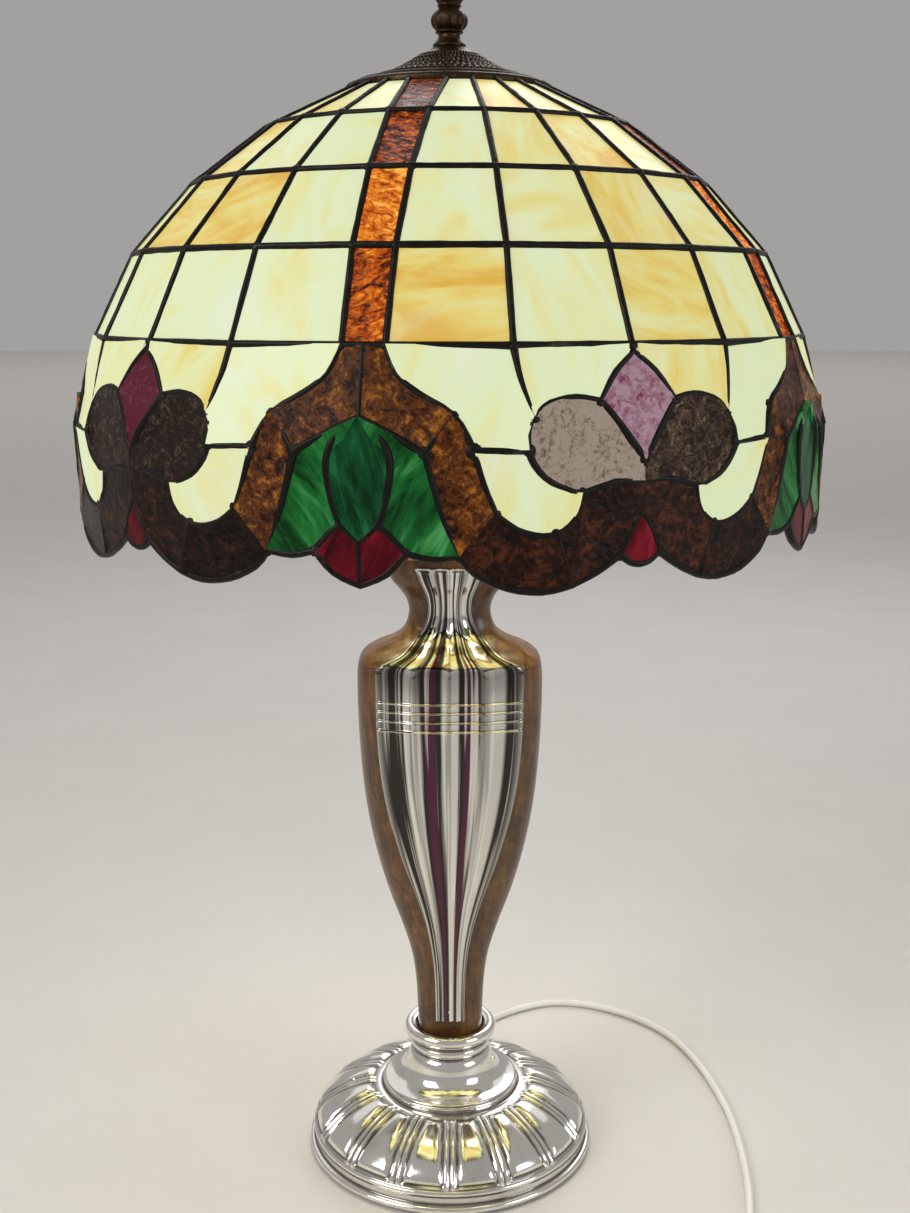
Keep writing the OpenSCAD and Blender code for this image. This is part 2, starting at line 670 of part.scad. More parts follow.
module switch_bottom() {
    color("white") at_switch() difference() {
        translate([0, 0, 0]) linear_extrude(7) switch_outline();
        translate([0, 0, 1.6]) linear_extrude(10) switch_outline(switch_l - 8, switch_w - 4);
        for (x = [-1, 1]) translate([x * 21, 0, 7]) rotate([0, 90, 0]) cylinder(r = cord_r + 0.02, h = 14, center = true);
        for (p = [[-16, 8.4], [16, -8.4]]) translate([p[0], p[1], -1]) cylinder(r = 1.55, h = 10);
    }
}

module switch_top() {
    color("white") at_switch() difference() {
        translate([0, 0, 7.05]) linear_extrude(7) switch_outline();
        translate([0, 0, 6]) linear_extrude(6.4) switch_outline(switch_l - 8, switch_w - 4);
        for (x = [-1, 1]) translate([x * 21, 0, 7]) rotate([0, 90, 0]) cylinder(r = cord_r + 0.02, h = 14, center = true);
        cube([17, 12.6, 40], center = true);
    }
}

module switch_screws() {
    color("silver") at_switch() for (p = [[-16, 8.4], [16, -8.4]])
        translate([p[0], p[1], 0.4]) cylinder(r = 1.5, h = 11.6);
}

rocker_z = 11;
module switch_rocker() {
    color("whitesmoke") at_switch() translate([0, 0, rocker_z]) rotate([0, -rocker_swing / 2, 0])
        rotate([90, 0, 0]) linear_extrude(12, center = true)
            polygon([[-7.6, -1], [-7.6, 3.4], [-3, 4.2], [3, 4.2], [7.6, 3.4], [7.6, -1], [3, -3.4], [-3, -3.4]]);
}

plug_l = 38;
pin_l = 19;
module plug_body() {
    color("white") translate(plug_at) {
        translate([-plug_l, -6.8, 0]) linear_extrude(12)
            polygon([[0, 0], [22, 0], [30, 3.4], [30, 10.2], [22, 13.6], [0, 13.6]]);
        translate([-10, 0, 6]) rotate([0, 90, 0]) cylinder(r = 3.6, h = 10);
    }
}

module plug_pins() {
    color("silver") translate(plug_at) for (side = [-1, 1])
        translate([-plug_l - pin_l, side * 4.6, 6]) rotate([0, 90, 0]) cylinder(r = 2, h = pin_l);
}

felt_pad();
base_shell();
base_weight();
base_washer();
base_nut();
bell_collar();
strain_relief();
wood_column();
front_plate();
back_plate();
plate_pins();
column_rod();
column_cap();
cap_nut();
cluster_body();
holder_arms();
holder_shells();
holder_inserts();
bulb_caps();
bulb_globes();
shade_riser();
riser_coupler();
finial_stud();
support_wheel();
wheel_nuts();
shade_ring();
vase_cap();
finial_bush();
finial();
cream_row_1();
cream_row_2();
cream_row_3();
cream_row_4();
amber_strips();
cream_skirt();
branch_glass();
scroll_glass();
leaf_glass();
bud_glass();
tulip_glass();
pansy_tops();
pansy_petals();
pansy_lips();
ruby_drops();
lead_rings();
lead_ribs();
lead_skirt();
lead_rim();
cord();
switch_bottom();
switch_top();
switch_screws();
switch_rocker();
cord_link();
cord_coil();
cord_end();
plug_body();
plug_pins();
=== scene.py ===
import math
import random

import bpy
from mathutils import Matrix, Vector, noise


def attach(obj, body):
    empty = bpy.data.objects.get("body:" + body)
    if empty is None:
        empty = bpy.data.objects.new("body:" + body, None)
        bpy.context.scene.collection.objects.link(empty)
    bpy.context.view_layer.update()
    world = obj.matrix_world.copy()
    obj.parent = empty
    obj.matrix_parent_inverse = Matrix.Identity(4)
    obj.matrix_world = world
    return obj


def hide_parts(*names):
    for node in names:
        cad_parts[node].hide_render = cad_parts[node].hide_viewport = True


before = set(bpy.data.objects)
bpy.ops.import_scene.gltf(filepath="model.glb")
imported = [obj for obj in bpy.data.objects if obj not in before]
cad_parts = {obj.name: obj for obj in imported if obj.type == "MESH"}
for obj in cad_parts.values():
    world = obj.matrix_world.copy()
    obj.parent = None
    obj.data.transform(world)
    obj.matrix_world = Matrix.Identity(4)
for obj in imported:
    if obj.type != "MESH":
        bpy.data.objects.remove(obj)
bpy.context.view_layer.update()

# ---- Room ----
# The lamp stands on a pale matt floor in a plain grey room. Two large soft boxes and a weak
# one behind it light the metal, and the camera looks a little down on it.
MM = 0.001
here = bpy.context.scene
here.view_settings.view_transform = "Standard"


def put(name, data, place=(0, 0, 0), aim=None):
    """Adds an object, aimed at a point where one is given."""
    made = bpy.data.objects.new(name, data)
    made.location = place
    if aim:
        made.rotation_euler = (Vector(aim) - Vector(place)).to_track_quat("-Z", "Y").to_euler()
    here.collection.objects.link(made)
    return made


eye = put("eye", bpy.data.cameras.new("eye"), (0.003, -0.8168, 0.508))
eye.rotation_euler = (math.radians(78.04), 0, 0)
eye.data.lens = 43.03
here.camera = eye


class Wire:
    """A value in a shader. Sums on it add Math nodes, and node() adds any other node."""

    def __init__(self, tree, socket=None):
        self.tree, self.socket = tree, socket

    def node(self, kind, settings=None, inputs=None, out=0):
        made = self.tree.nodes.new("ShaderNode" + kind)
        for name, value in (settings or {}).items():
            if name == "stops":
                stops = made.color_ramp.elements
                stops.remove(stops[1])
                for k, (at, colour) in enumerate(value):
                    stop = stops.new(at) if k else stops[0]
                    stop.position, stop.color = at, colour
            else:
                setattr(made, name, value)
        for name, value in (inputs or {}).items():
            if isinstance(value, Wire):
                self.tree.links.new(value.socket, made.inputs[name])
            else:
                made.inputs[name].default_value = value
        return Wire(self.tree, made.outputs[out] if made.outputs else None)

    def sum(self, operation, *parts):
        return self.node("Math", {"operation": operation}, dict(enumerate(parts)))

    def __add__(self, other):
        return self.sum("ADD", self, other)

    __radd__ = __add__

    def __sub__(self, other):
        return self.sum("SUBTRACT", self, other)

    def __rsub__(self, other):
        return self.sum("SUBTRACT", other, self)

    def __mul__(self, other):
        return self.sum("MULTIPLY", self, other)

    __rmul__ = __mul__

    def capped(self, top):
        return self.sum("MINIMUM", self, top)

    def off(self, middle):
        """How far the value is from a middle one."""
        gap = self - middle
        return gap.sum("ABSOLUTE", gap)

    def step(self, low, high):
        """0 below low and 1 above high, with a soft change between."""
        return self.node("MapRange", {"interpolation_type": "SMOOTHSTEP"},
                         {"Value": self, "From Min": low, "From Max": high})

    def tint(self, low, high):
        """A colour from low to high as the value goes from 0 to 1. Each is a wire or six hex digits."""
        ends = [paint(end) if isinstance(end, str) else end for end in (low, high)]
        return self.node("Mix", {"data_type": "RGBA"}, {0: self, 6: ends[0], 7: ends[1]}, 2)

    def ramp(self, *stops):
        """A colour that changes along the value, through stops of a value and six hex digits."""
        return self.node("ValToRGB", {"stops": [(at, paint(code)) for at, code in stops]}, {0: self})

    def part(self, letter):
        """One coordinate of a place."""
        split = self.node("SeparateXYZ", None, {0: self})
        return Wire(self.tree, split.socket.node.outputs[letter])

    def tag(self, name, out="Fac"):
        """What the mesh says at its points under that name."""
        return self.node("Attribute", {"attribute_name": name}, out=out)

    def stretch(self, x, y, z):
        return self.node("VectorMath", {"operation": "MULTIPLY"}, {0: self, 1: (x, y, z)})

    def cloud(self, size, detail=3.0, rough=0.55, swirl=0.0):
        """Soft noise whose lumps are that many metres across."""
        return self.node("TexNoise", None, {"Vector": self, "Scale": 1 / size, "Detail": detail,
                                            "Roughness": rough, "Distortion": swirl})

    def cells(self, scale):
        """Distance from the middle of soft cells, so many to the metre."""
        return self.node("TexVoronoi", {"feature": "SMOOTH_F1"}, {"Vector": self, "Scale": scale})


def paint(code):
    """A colour as a shader takes it, from six hex digits."""
    parts = [int(code[k:k + 2], 16) / 255 for k in (0, 2, 4)]
    return (*[c / 12.92 if c <= 0.04045 else ((c + 0.055) / 1.055) ** 2.4 for c in parts], 1)


def finish(name, recipe):
    """A material: recipe takes the place on the piece and gives the shader's sockets."""
    made = bpy.data.materials.new(name)
    made.use_nodes = True
    made.node_tree.nodes.clear()
    place = Wire(made.node_tree).node("TexCoord", out="Object")
    sockets = recipe(place)
    if "Height" in sockets:
        height, depth = sockets.pop("Height")
        sockets["Normal"] = place.node("Bump", None, {"Height": height, "Distance": depth})
    shader = place.node("BsdfPrincipled", None, sockets)
    place.node("OutputMaterial", None, {"Surface": shader})
    return made


def floor_paint(place):
    cloud = place.cloud(0.11, 4)
    return {"Base Color": cloud.tint("D2CFCA", "DCDAD5"), "Roughness": 0.55 + 0.1 * cloud,
            "Height": (place.cloud(0.0012), 0.0001)}


sheet = bpy.data.meshes.new("floor")
sheet.from_pydata([(x * 14, y * 14, 0) for x, y in ((-1, -1), (1, -1), (1, 1), (-1, 1))], [], [(0, 1, 2, 3)])
sheet.materials.append(finish("pale_floor", floor_paint))
ground = put("floor", sheet)
ground.location.z = -0.0002

sky = bpy.data.worlds.new("room")
here.world = sky
sky.use_nodes = True
sky.node_tree.nodes.clear()
up = Wire(sky.node_tree).node("TexCoord", out="Generated").node("SeparateXYZ", out="Z")
wall = up.ramp((0.0, "A3A1A0"), (0.08, "A09D9B"), (0.22, "8E8984"), (0.62, "6A6866"), (1.0, "B9B8B8"))
up.node("OutputWorld", None, {"Surface": up.node("Background", None, {"Color": wall, "Strength": 1.0})})

for name, place, wide, power, colour in (
    ("soft_box_left", (-1.25, -1.0, 1.25), 0.9, 14, (1, 0.98, 0.95)),
    ("soft_box_right", (1.35, -0.9, 0.75), 0.7, 6, (0.92, 0.97, 1)),
    ("soft_box_back", (0.3, 1.5, 1.6), 1.2, 10, (1, 1, 1)),
):
    box = bpy.data.lights.new(name, "AREA")
    box.size, box.energy, box.color = wide, power, colour
    put(name, box, place, (0, 0, 0.3))
far = bpy.data.lights.new("far_ceiling", "AREA")
far.size, far.energy = 10, 130
put("far_ceiling", far, (0, 8.5, 5), (0, 8.5, 0))

# ---- Cord ----
# A white round mains cord leaves the bell through a tapered sleeve, rests on the table in one
# easy curve, goes through a hand switch, and is wound up and ends in a flat two pin plug.
cord_d = 4.6 * MM
first_stretch = [
    (0, 56, 52), (0, 63, 51.4), (0.4, 71, 48.6), (1.2, 79, 43.4), (2.4, 87, 36), (4, 94, 27), (6, 100.4, 17.6),
    (8.6, 107.4, 9), (12, 116, 4), (17, 125, 2.6), (25, 136, 2.6), (37, 147, 2.6), (54, 158, 2.6), (74, 165, 2.6),
    (96, 163, 2.6), (118, 153, 2.6), (137, 138, 2.6), (152, 119, 2.6), (162, 97, 2.6), (169, 72, 2.6),
    (174, 44, 2.6), (177, 14, 2.6), (177, -18, 2.6), (175, -50, 2.6), (171, -80, 2.6), (164, -106, 2.6),
    (153, -128, 3), (141, -141, 5), (132, -147.5, 7)]
through_switch = [(120.5, -154.2, 7), (109, -161, 7), (97.5, -167.7, 7)]
to_coil = [(86, -174.3, 7), (81.4, -177, 6.3), (76.9, -179.7, 5), (72.3, -182.4, 3.8), (67.8, -185.1, 3),
           (63.2, -187.8, 2.7), (58.9, -190.3, 2.6)]
to_plug = [(11, -176.6, 7), (7, -170, 6.4), (3.6, -163.2, 4.8), (0.5, -157.1, 3.4), (-2.4, -151.4, 2.7),
           (-5.1, -146.1, 2.7), (-7, -143.6, 3), (-9.3, -141.5, 3.5), (-11.9, -139.9, 4.2), (-14.9, -138.9, 4.9),
           (-17.9, -138.4, 5.6), (-21, -138.4, 6), (-24, -138.4, 6)]
coil_x, coil_y, turn_out, turn_in, level, rise = 41.7, -160.5, 34.4, 20.6, 2.6, 4.6


def wound():
    """Three turns inwards on the table, a climb, and three turns outwards on top of them."""
    start, inward, climb, outward = -60, 1080, 120, 1040
    turns = [(turn_out - (turn_out - turn_in) * k / 72, start - inward * k / 72, level) for k in range(1, 73)]
    for k in range(1, 9):
        up = level + rise * (0.5 - 0.5 * math.cos(math.pi * k / 8))
        turns.append((turn_in, start - inward - climb * k / 8, up))
    for k in range(1, 70):
        r = turn_in + rise * outward / 360 * k / 69
        turns.append((r, start - inward - climb - outward * k / 69, level + rise))
    return [(coil_x + r * math.cos(math.radians(a)), coil_y + r * math.sin(math.radians(a)), z)
            for r, a, z in turns]


def spline(points, steps=3):
    """More points on a smooth curve through the given ones."""
    p, made = [Vector(q) for q in points], []
    for i in range(len(p) - 1):
        a, b, c, d = p[max(i - 1, 0)], p[i], p[i + 1], p[min(i + 2, len(p) - 1)]
        for s in range(steps):
            t = s / steps
            made.append(0.5 * (2 * b + t * (c - a) + t * t * (2 * a - 5 * b + 4 * c - d)
                               + t ** 3 * (3 * b - a - 3 * c + d)))
    return made + [p[-1]]


route = [p * MM for p in spline(first_stretch + through_switch + to_coil + wound() + to_plug, 3)]
line = bpy.data.curves.new("mains_cord", "CURVE")
line.dimensions = "3D"
line.bevel_depth = cord_d / 2
line.bevel_resolution = 3
line.use_fill_caps = True
strand = line.splines.new("POLY")
strand.points.add(len(route) - 1)
strand.use_smooth = True
for spot, p in zip(strand.points, route):
    spot.co = (*p, 1)


def cord_skin(place):
    dust = place.cloud(0.02, 4)
    return {"Base Color": dust.tint("D9D8D2", "F1F0EC"), "Roughness": 0.34 + 0.14 * dust,
            "Coat Weight": 0.15, "Height": (place.cloud(0.0007, 2), 0.00006)}


white_pvc = finish("white_pvc", cord_skin)
line.materials.append(white_pvc)
flex = put("mains_cord", line)

# The sleeve, the switch and the plug are moulded white plastic with a fine spark texture; the
# plug's pins and the switch's screws are nickel plated.
def moulded(place):
    grain = place.cloud(0.0009, 3, 0.7)
    wear = place.cloud(0.015, 5, 0.6)
    return {"Base Color": wear.step(0.35, 0.75).tint("E4E3DD", "F4F3EF"),
            "Roughness": 0.38 + 0.2 * grain, "Height": (grain, 0.00005)}


def ring_faces(count, around, closed=False):
    """Faces between stacked rings of the same number of points."""
    faces = []
    for i in range(count if closed else count - 1):
        low, high = i * around, (i + 1) % count * around
        faces += [(low + j, low + (j + 1) % around, high + (j + 1) % around, high + j) for j in range(around)]
    return faces


def ended(count, around):
    """The same, with a face over each end."""
    return ring_faces(count, around) + [
        tuple(range(around - 1, -1, -1)), tuple(range((count - 1) * around, count * around))]


def joined(*parts):
    """One shape out of several, each given as its points and its faces."""
    points, faces = [], []
    for more, skin in parts:
        faces += [tuple(len(points) + k for k in f) for f in skin]
        points += more
    return points, faces


def piece(name, points, faces, look, body, nodes=(), sharp=38, tags=None):
    """A piece of the lamp: its mesh, its finish, its body, and the CAD solids it stands for."""
    mesh = bpy.data.meshes.new(name)
    mesh.from_pydata([tuple(p) for p in points], [], faces)
    mesh.update()
    for tag, (kind, values) in (tags or {}).items():
        layer = mesh.attributes.new(tag, kind, "POINT")
        if kind == "FLOAT_VECTOR":
            layer.data.foreach_set("vector", [c for v in values for c in v])
        else:
            layer.data.foreach_set("value", values)
    mesh.shade_smooth()
    mesh.set_sharp_from_angle(angle=math.radians(sharp))
    mesh.materials.append(look)
    made = put(name, mesh)
    if nodes:
        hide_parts(*nodes)
    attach(made, body)
    return made


def about_z(a, r, z):
    """A point at an angle from the front, with its radius and height in millimetres."""
    return r * math.sin(a) * MM, -r * math.cos(a) * MM, z * MM


def round_turn(around):
    return [2 * math.pi * k / around for k in range(around)]


def turned(profile, around=96, steps=1, spin=None):
    """Rings of a turned shape from its profile, radius and height."""
    line = spline([(r, z, 0) for r, z in profile], steps) if steps > 1 else [Vector((*p, 0)) for p in profile]
    points = []
    for r, z, _ in line:
        points += [about_z(a, r + (spin(a, r, z) if spin else 0), z) for a in round_turn(around)]
    return points, ring_faces(len(line), around)


def dress(look, slot_name, *nodes):
    """A CAD solid whose shape is right keeps it and gets its finish."""
    for n in nodes:
        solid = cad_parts[n]
        if not solid.material_slots:
            solid.data.materials.append(look)
        for spot in solid.material_slots:
            spot.material = look


white_plastic = finish("white_plastic", moulded)


def along_y(points, z0):
    """Turns a shape made on Z so that it runs back along Y at a height."""
    return [(x, z, z0 * MM - y) for x, y, z in points]


sleeve = [(0.4, 20.6), (4.15, 20.6), (4.15, 27.6), (5.4, 27.8), (5.6, 28.6), (5.5, 30.2), (5.0, 31)]
for k in range(8):
    z, r = 31.4 + 3 * k, 5.0 - 0.24 * k
    sleeve += [(r, z), (r - 0.05, z + 1.4), (r - 0.75, z + 1.6), (r - 0.85, z + 2.6)]
sleeve += [(3.1, 55.4), (2.7, 56), (2.2, 56)]
shape, skin = turned(sleeve, 32)
relief = piece("cord_sleeve", along_y(shape, 52), skin, white_pvc, "stand", ["strain_relief"])

switch_at, switch_yaw = Vector((109, -161, 0)), math.radians(30)
switch_frame = Matrix.Translation(switch_at * MM) @ Matrix.Rotation(switch_yaw, 4, "Z")


def lozenge(x, y, count=40):
    """Outline of the switch: a circle cut by two straight sides, with soft corners."""
    made = []
    for k in range(count):
        a = 2 * math.pi * k / count
        px, py = x * math.cos(a), x * math.sin(a)
        if abs(py) > y:
            px, py = px, math.copysign(y, py)
        made.append((px, py))
    return made


def switch_half(name, levels, nodes):
    """One half shell: its outline at each height, shrunk a little where the edge is round."""
    points = []
    for z, less in levels:
        points += [switch_frame @ Vector((x * MM, y * MM, z * MM)) for x, y in lozenge(27 - less, 13 - less)]
    return piece(name, points, ended(len(levels), 40), white_plastic, "stand", nodes, 50)


under = switch_half("switch_lower_half", [(0.1, 1.6), (0.6, 0.5), (1.6, 0.1), (6.4, 0), (6.85, 0.35)],
                    ["switch_bottom"])
over = switch_half("switch_upper_half",
                   [(6.95, 0.35), (7.3, 0), (11.4, 0.1), (12.8, 0.9), (13.6, 2.2), (14.05, 4.4)], ["switch_top"])


def rocker_shape():
    """A saddle shaped rocker with a raised bar across each end, tilted off its middle."""
    seat = switch_frame @ Matrix.Translation((0, 0, 11 * MM)) @ Matrix.Rotation(math.radians(-7), 4, "Y")
    points = []
    for j in range(7):
        y = -5.9 + 11.8 * j / 6
        edge = 0.5 * (abs(y) / 5.9) ** 6
        top = [(7.5 - 15 * i / 16, 3.3 + 0.9 * (i / 8 - 1) ** 2 + (0.35 if i in (2, 14) else 0) - edge)
               for i in range(17)]
        outline = top + [(-7.6, -1), (-3, -3.3), (3, -3.3), (7.6, -1)]
        points += [seat @ Vector((x * MM, y * MM, z * MM)) for x, z in outline]
    return points, ended(7, 21)


shape, skin = rocker_shape()
rocker = piece("switch_rocker_cap", shape, skin, white_plastic, "rocker",
               ["switch_rocker"], 45)

plug_at = Vector((-24, -138.4, 0))


def plug_shape():
    """A flat plug body that narrows to its neck, with finger ribs across the back."""
    stations = [(-38, 6.3, 5.6), (-37.6, 6.8, 6), (-30, 6.8, 6), (-24, 6.7, 5.95), (-19, 6.2, 5.7),
                (-16, 5.6, 5.4)]
    for k in range(4):
        rib, groove = (5.2 - 0.4 * k, 5.1 - 0.35 * k), (4.3 - 0.4 * k, 4.5 - 0.3 * k)
        stations += [(-15 + 2.4 * k + along, *size)
                     for along, size in ((0, rib), (1.2, rib), (1.4, groove), (2.2, groove))]
    stations += [(-4.4, 3.4, 3.4), (-0.4, 2.9, 2.9), (0, 2.4, 2.4)]
    points = []
    for x, wide, high in stations:
        for a in round_turn(32):
            y, z = [math.copysign(abs(v) ** 0.6, v) for v in (math.cos(a), math.sin(a))]
            points.append((plug_at + Vector((x, wide * y, 6 + high * z))) * MM)
    return points, ended(len(stations), 32)


shape, skin = plug_shape()
plug = piece("plug_moulding", shape, [f[::-1] for f in skin], white_plastic, "stand",
             ["plug_body"], 45)
pin, pin_skin = turned([(0, 0), (1.5, 0), (2, 0.7), (2, 8), (1.9, 8.2), (1.9, 19)], 24)
pin_ends = [Vector((plug_at.x - 57, plug_at.y + side * 4.6, 6)) * MM for side in (-1, 1)]
shape, skin = joined(*[([end + Vector((z, y, -x)) for x, y, z in pin], pin_skin) for end in pin_ends])


def nickel_look(place):
    scuff = place.stretch(1, 6, 6).cloud(0.004, 5)
    return {"Base Color": scuff.tint("B9B4AA", "D8D4CC"), "Metallic": 1.0,
            "Roughness": 0.16 + 0.2 * scuff, "Height": (scuff, 0.00002)}


nickel = finish("nickel", nickel_look)
pins = piece("plug_pin_pair", shape, skin, nickel, "stand", ["plug_pins"])
dress(nickel, "steel", "switch_screws")

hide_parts("cord", "cord_link", "cord_coil", "cord_end")
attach(flex, "stand")

# ---- Felt and weight ----
# A disc of green baize is glued under the base, over a cast iron weight that a washer and a
# brass nut clamp up inside the shell.
def baize(place):
    fuzz = place.cloud(0.0011, 4, 0.7)
    return {"Base Color": fuzz.tint("16301F", "2C5238"), "Roughness": 0.92,
            "Sheen Weight": 0.5, "Height": (fuzz, 0.0003)}


def cast_iron(place):
    pits = place.cloud(0.002, 5, 0.65)
    rust = place.cloud(0.02, 4).step(0.55, 0.8)
    return {"Base Color": rust.tint("3A3A3B", "5A3A28"), "Metallic": 1 - rust * 0.8,
            "Roughness": 0.5 + 0.3 * pits, "Height": (pits, 0.0003)}


def aged_brass(place):
    haze = place.cloud(0.012, 5, 0.6)
    spots = place.cloud(0.0016, 3).step(0.6, 0.75)
    return {"Base Color": (haze * 0.8 + spots * 0.3).tint("C9A24E", "7C5A28"), "Metallic": 1.0,
            "Roughness": 0.22 + 0.25 * haze, "Height": (haze, 0.00004)}


dress(finish("green_baize", baize), "felt", "felt_pad")
dress(finish("cast_iron", cast_iron), "iron", "base_weight")
brass = finish("aged_brass", aged_brass)
dress(brass, "brass", "base_nut")
dress(nickel, "steel", "base_washer")

# ---- Base shell ----
# Pressed and silver plated dish: two beads round its wall, then sixteen pillows with a pair of
# narrow ridges between each two, a plain ring, and a raised disc that carries the bell.
def silver_plate(place, dark=0.0):
    """Polished silver plate, with patches of brown tarnish and very fine scratches. The dark value browns it
    further, which the dish and the bell use as painted shade and tarnish in their hollows.
    """
    haze = place.cloud(0.03, 5, 0.6)
    speck = place.cloud(0.0035, 4, 0.65).step(0.52, 0.8)
    scratch = place.stretch(1, 1, 0.08).cloud(0.0008, 3)
    # Painted shade and tarnish: dark adds to the brown where the mesh marks a hollow.
    worn = haze.step(0.5, 0.85) * 0.3 + speck * 0.14 + dark
    return {"Base Color": worn.tint("F4F1EA", "3B332C"), "Metallic": 1.0,
            "Roughness": 0.05 + 0.1 * haze + 0.04 * scratch, "Height": (scratch, 0.000006)}


# Painted shade and tarnish: the hollow value on the mesh darkens the colour in the creases and hollows of the dish
# and the bell.
silver_tarnish_and_shade = finish("silver_plate", lambda place: silver_plate(place, place.tag("hollow") * 0.85))

pillows, ridge_zone = 16, 5.0


def dome_point(u):
    """Profile of the pillow band, from the bead (0) to the plain ring (90)."""
    c, s = math.cos(math.radians(u)), math.sin(math.radians(u))
    r = 0.4 * (82.6 - 35.6 * u / 90) + 0.6 * (47 + 35.6 * c)
    return r, 0.4 * (14.2 + 22.3 * u / 90) + 0.6 * (14.2 + 22.3 * s)


def rise_over(x, reach):
    """Round shoulder of a pillow: 0 at its edge and 1 from reach inwards."""
    t = max(0.0, min(1.0, x / reach))
    return math.sqrt(1 - (1 - t) ** 2)


def pillow_relief(a, r, from_bead, from_ring):
    """Height of the pressed pattern, and how deep in a hollow that spot is, which is painted darker as shade and
    tarnish.
    """
    sector = 2 * math.pi / pillows
    b = abs((a / sector + 0.5) % 1 - 0.5) * sector * r
    ends = min(1.0, from_bead / 1.2) * min(1.0, max(0.0, from_ring + 0.5) / 2)
    if b < ridge_zone - 1.4:
        crest = math.sin(math.pi * min(1, max(0, (b - 0.35) / 3.1)))
        return 1.25 * max(0, crest) ** 0.7 * ends, (1 - min(1, crest * 3)) * 0.9
    rim = 1.0 * math.exp(-((from_bead - 1.0) / 0.55) ** 2)
    crown = 1.9 * rise_over(b - ridge_zone + 0.2, 4.5) * rise_over(from_bead - 2.4, 5.5)
    crown *= rise_over(from_ring - 1.5, 4)
    return crown + rim, max(0, 1 - crown * 1.6 - rim) * 0.9


def bead(r, z, across, high, angles):
    """Points round a bead's section, from below its widest to over its top."""
    turns = [math.radians(t) for t in angles]
    return [(r + across * math.cos(t), z + high * math.sin(t)) for t in turns]


def base_dish():
    turn = round_turn(pillows * 30)
    # The third number of each row is how dark it is painted, as shade and tarnish, in the creases by the beads and
    # at the foot of the raised disc.
    rows = [(80.4, 1.3, 0), (83, 1.25, 0.3)] + [(*p, 0) for p in bead(84.6, 3.2, 2, 2, range(-80, 91, 17))]
    rows += [(83.9, 5.4, 0.8), (83.2, 6, 1), (82.9, 7, 0.35), (82.8, 8.2, 0.1), (82.9, 9.3, 0.35), (83, 10.1, 1)]
    rows += [(*p, 0) for p in bead(82.4, 12.1, 1.8, 1.8, range(-60, 76, 15))]
    top = [(45.6, 36.7, 0.5), (44.4, 36.9, 0.2), (43, 36.8, 0.2), (41.9, 36.9, 0.9), (41.3, 37.3, 1),
           (41.2, 38.2, 0.4), (41.3, 39.3, 0.1), (41.1, 40.1, 0), (40.5, 40.6, 0), (39, 40.75, 0.1),
           (34, 40.7, 0.1), (26, 40.7, 0.3)]
    points, deep = [about_z(a, r, z) for r, z, _ in rows for a in turn], [d for _, _, d in rows for a in turn]
    band = [dome_point(k * 90 / 44) for k in range(45)]
    along = [0.0]
    for p, q in zip(band, band[1:]):
        along.append(along[-1] + math.hypot(q[0] - p[0], q[1] - p[1]))
    for i, (r, z) in enumerate(band):
        p, q = band[max(i - 1, 0)], band[min(i + 1, len(band) - 1)]
        out, up = q[1] - p[1], p[0] - q[0]
        n = math.hypot(out, up)
        for a in turn:
            lift, d = pillow_relief(a, r, along[i], along[-1] - along[i])
            points.append(about_z(a, r + lift * out / n, z + lift * up / n))
            deep.append(d)
    points += [about_z(a, r, z) for r, z, _ in top for a in turn]
    deep += [d for _, _, d in top for a in turn]
    return points, ring_faces(len(points) // len(turn), len(turn)), deep


shape, skin, deep = base_dish()
piece("base_dish", shape, skin, silver_tarnish_and_shade, "stand", ["base_shell"], 50,
      {"hollow": ("FLOAT", deep)})

# ---- Bell and collar ----
# One spun and plated piece: a bell that flares onto the disc, a groove and a band round its
# neck, and a heavy round collar whose flat seat takes the foot of the wood.
bell_line = [
    (40, 40.8), (40.4, 41.3), (39.6, 42.0), (37.4, 42.5), (34.5, 43.4), (31.6, 44.8), (29.4, 46.6), (27.6, 49.2),
    (26.5, 52), (25.9, 54.8), (25.2, 57.2), (24.2, 59.2), (22.9, 60.6), (22.3, 61.2), (22.6, 61.8), (23.5, 62.4),
    (23.9, 63.6), (23.9, 64.8), (23.5, 66), (22.7, 66.6), (22.3, 67.2), (22.6, 68), (23.6, 68.8)]
bell_line += bead(24.6, 73.4, 3.2, 3.7, range(-70, 131, 20))
bell_line += [(21.6, 76), (20.8, 75.4), (20.4, 72), (20.2, 69), (19.6, 68.2), (14, 68.1)]
shape, skin = turned(bell_line, 128, 3)
# Painted shade and tarnish: the two neck grooves and the foot of the bell, where it meets the disc, are marked as
# hollows that darken the colour.
grooves = [(61.2, 0.7, 1), (67, 0.8, 1), (41, 0.5, 0.5)]
deep = [max(much * math.exp(-((p[2] / MM - h) / wide) ** 2) for h, wide, much in grooves) for p in shape]
piece("bell_and_collar", shape, skin, silver_tarnish_and_shade, "stand", ["bell_collar"], 60,
      {"hollow": ("FLOAT", deep)})

# ---- Wood column ----
# An urn shaped body of burr walnut veneer over a core, rounded at its sides, in a warm French
# polish: upright figure on the flanks, mitred seams at the shoulders, and hairline cracks.
column_line = [
    (68.2, 19.3), (92, 19.8), (110, 21), (126, 23.6), (145, 29.4), (168, 37.4), (195, 44.6), (225, 49.8),
    (258, 52.6), (288, 53.5), (302, 53), (308, 50.6), (312.5, 44), (317, 34), (323, 26.6), (333, 23.5),
    (341, 25), (347, 29), (352, 33.2), (358, 35.6), (364, 36), (366.2, 35.6), (367, 34.4)]


def half_depth(w):
    return 0.6 * w + 3.5


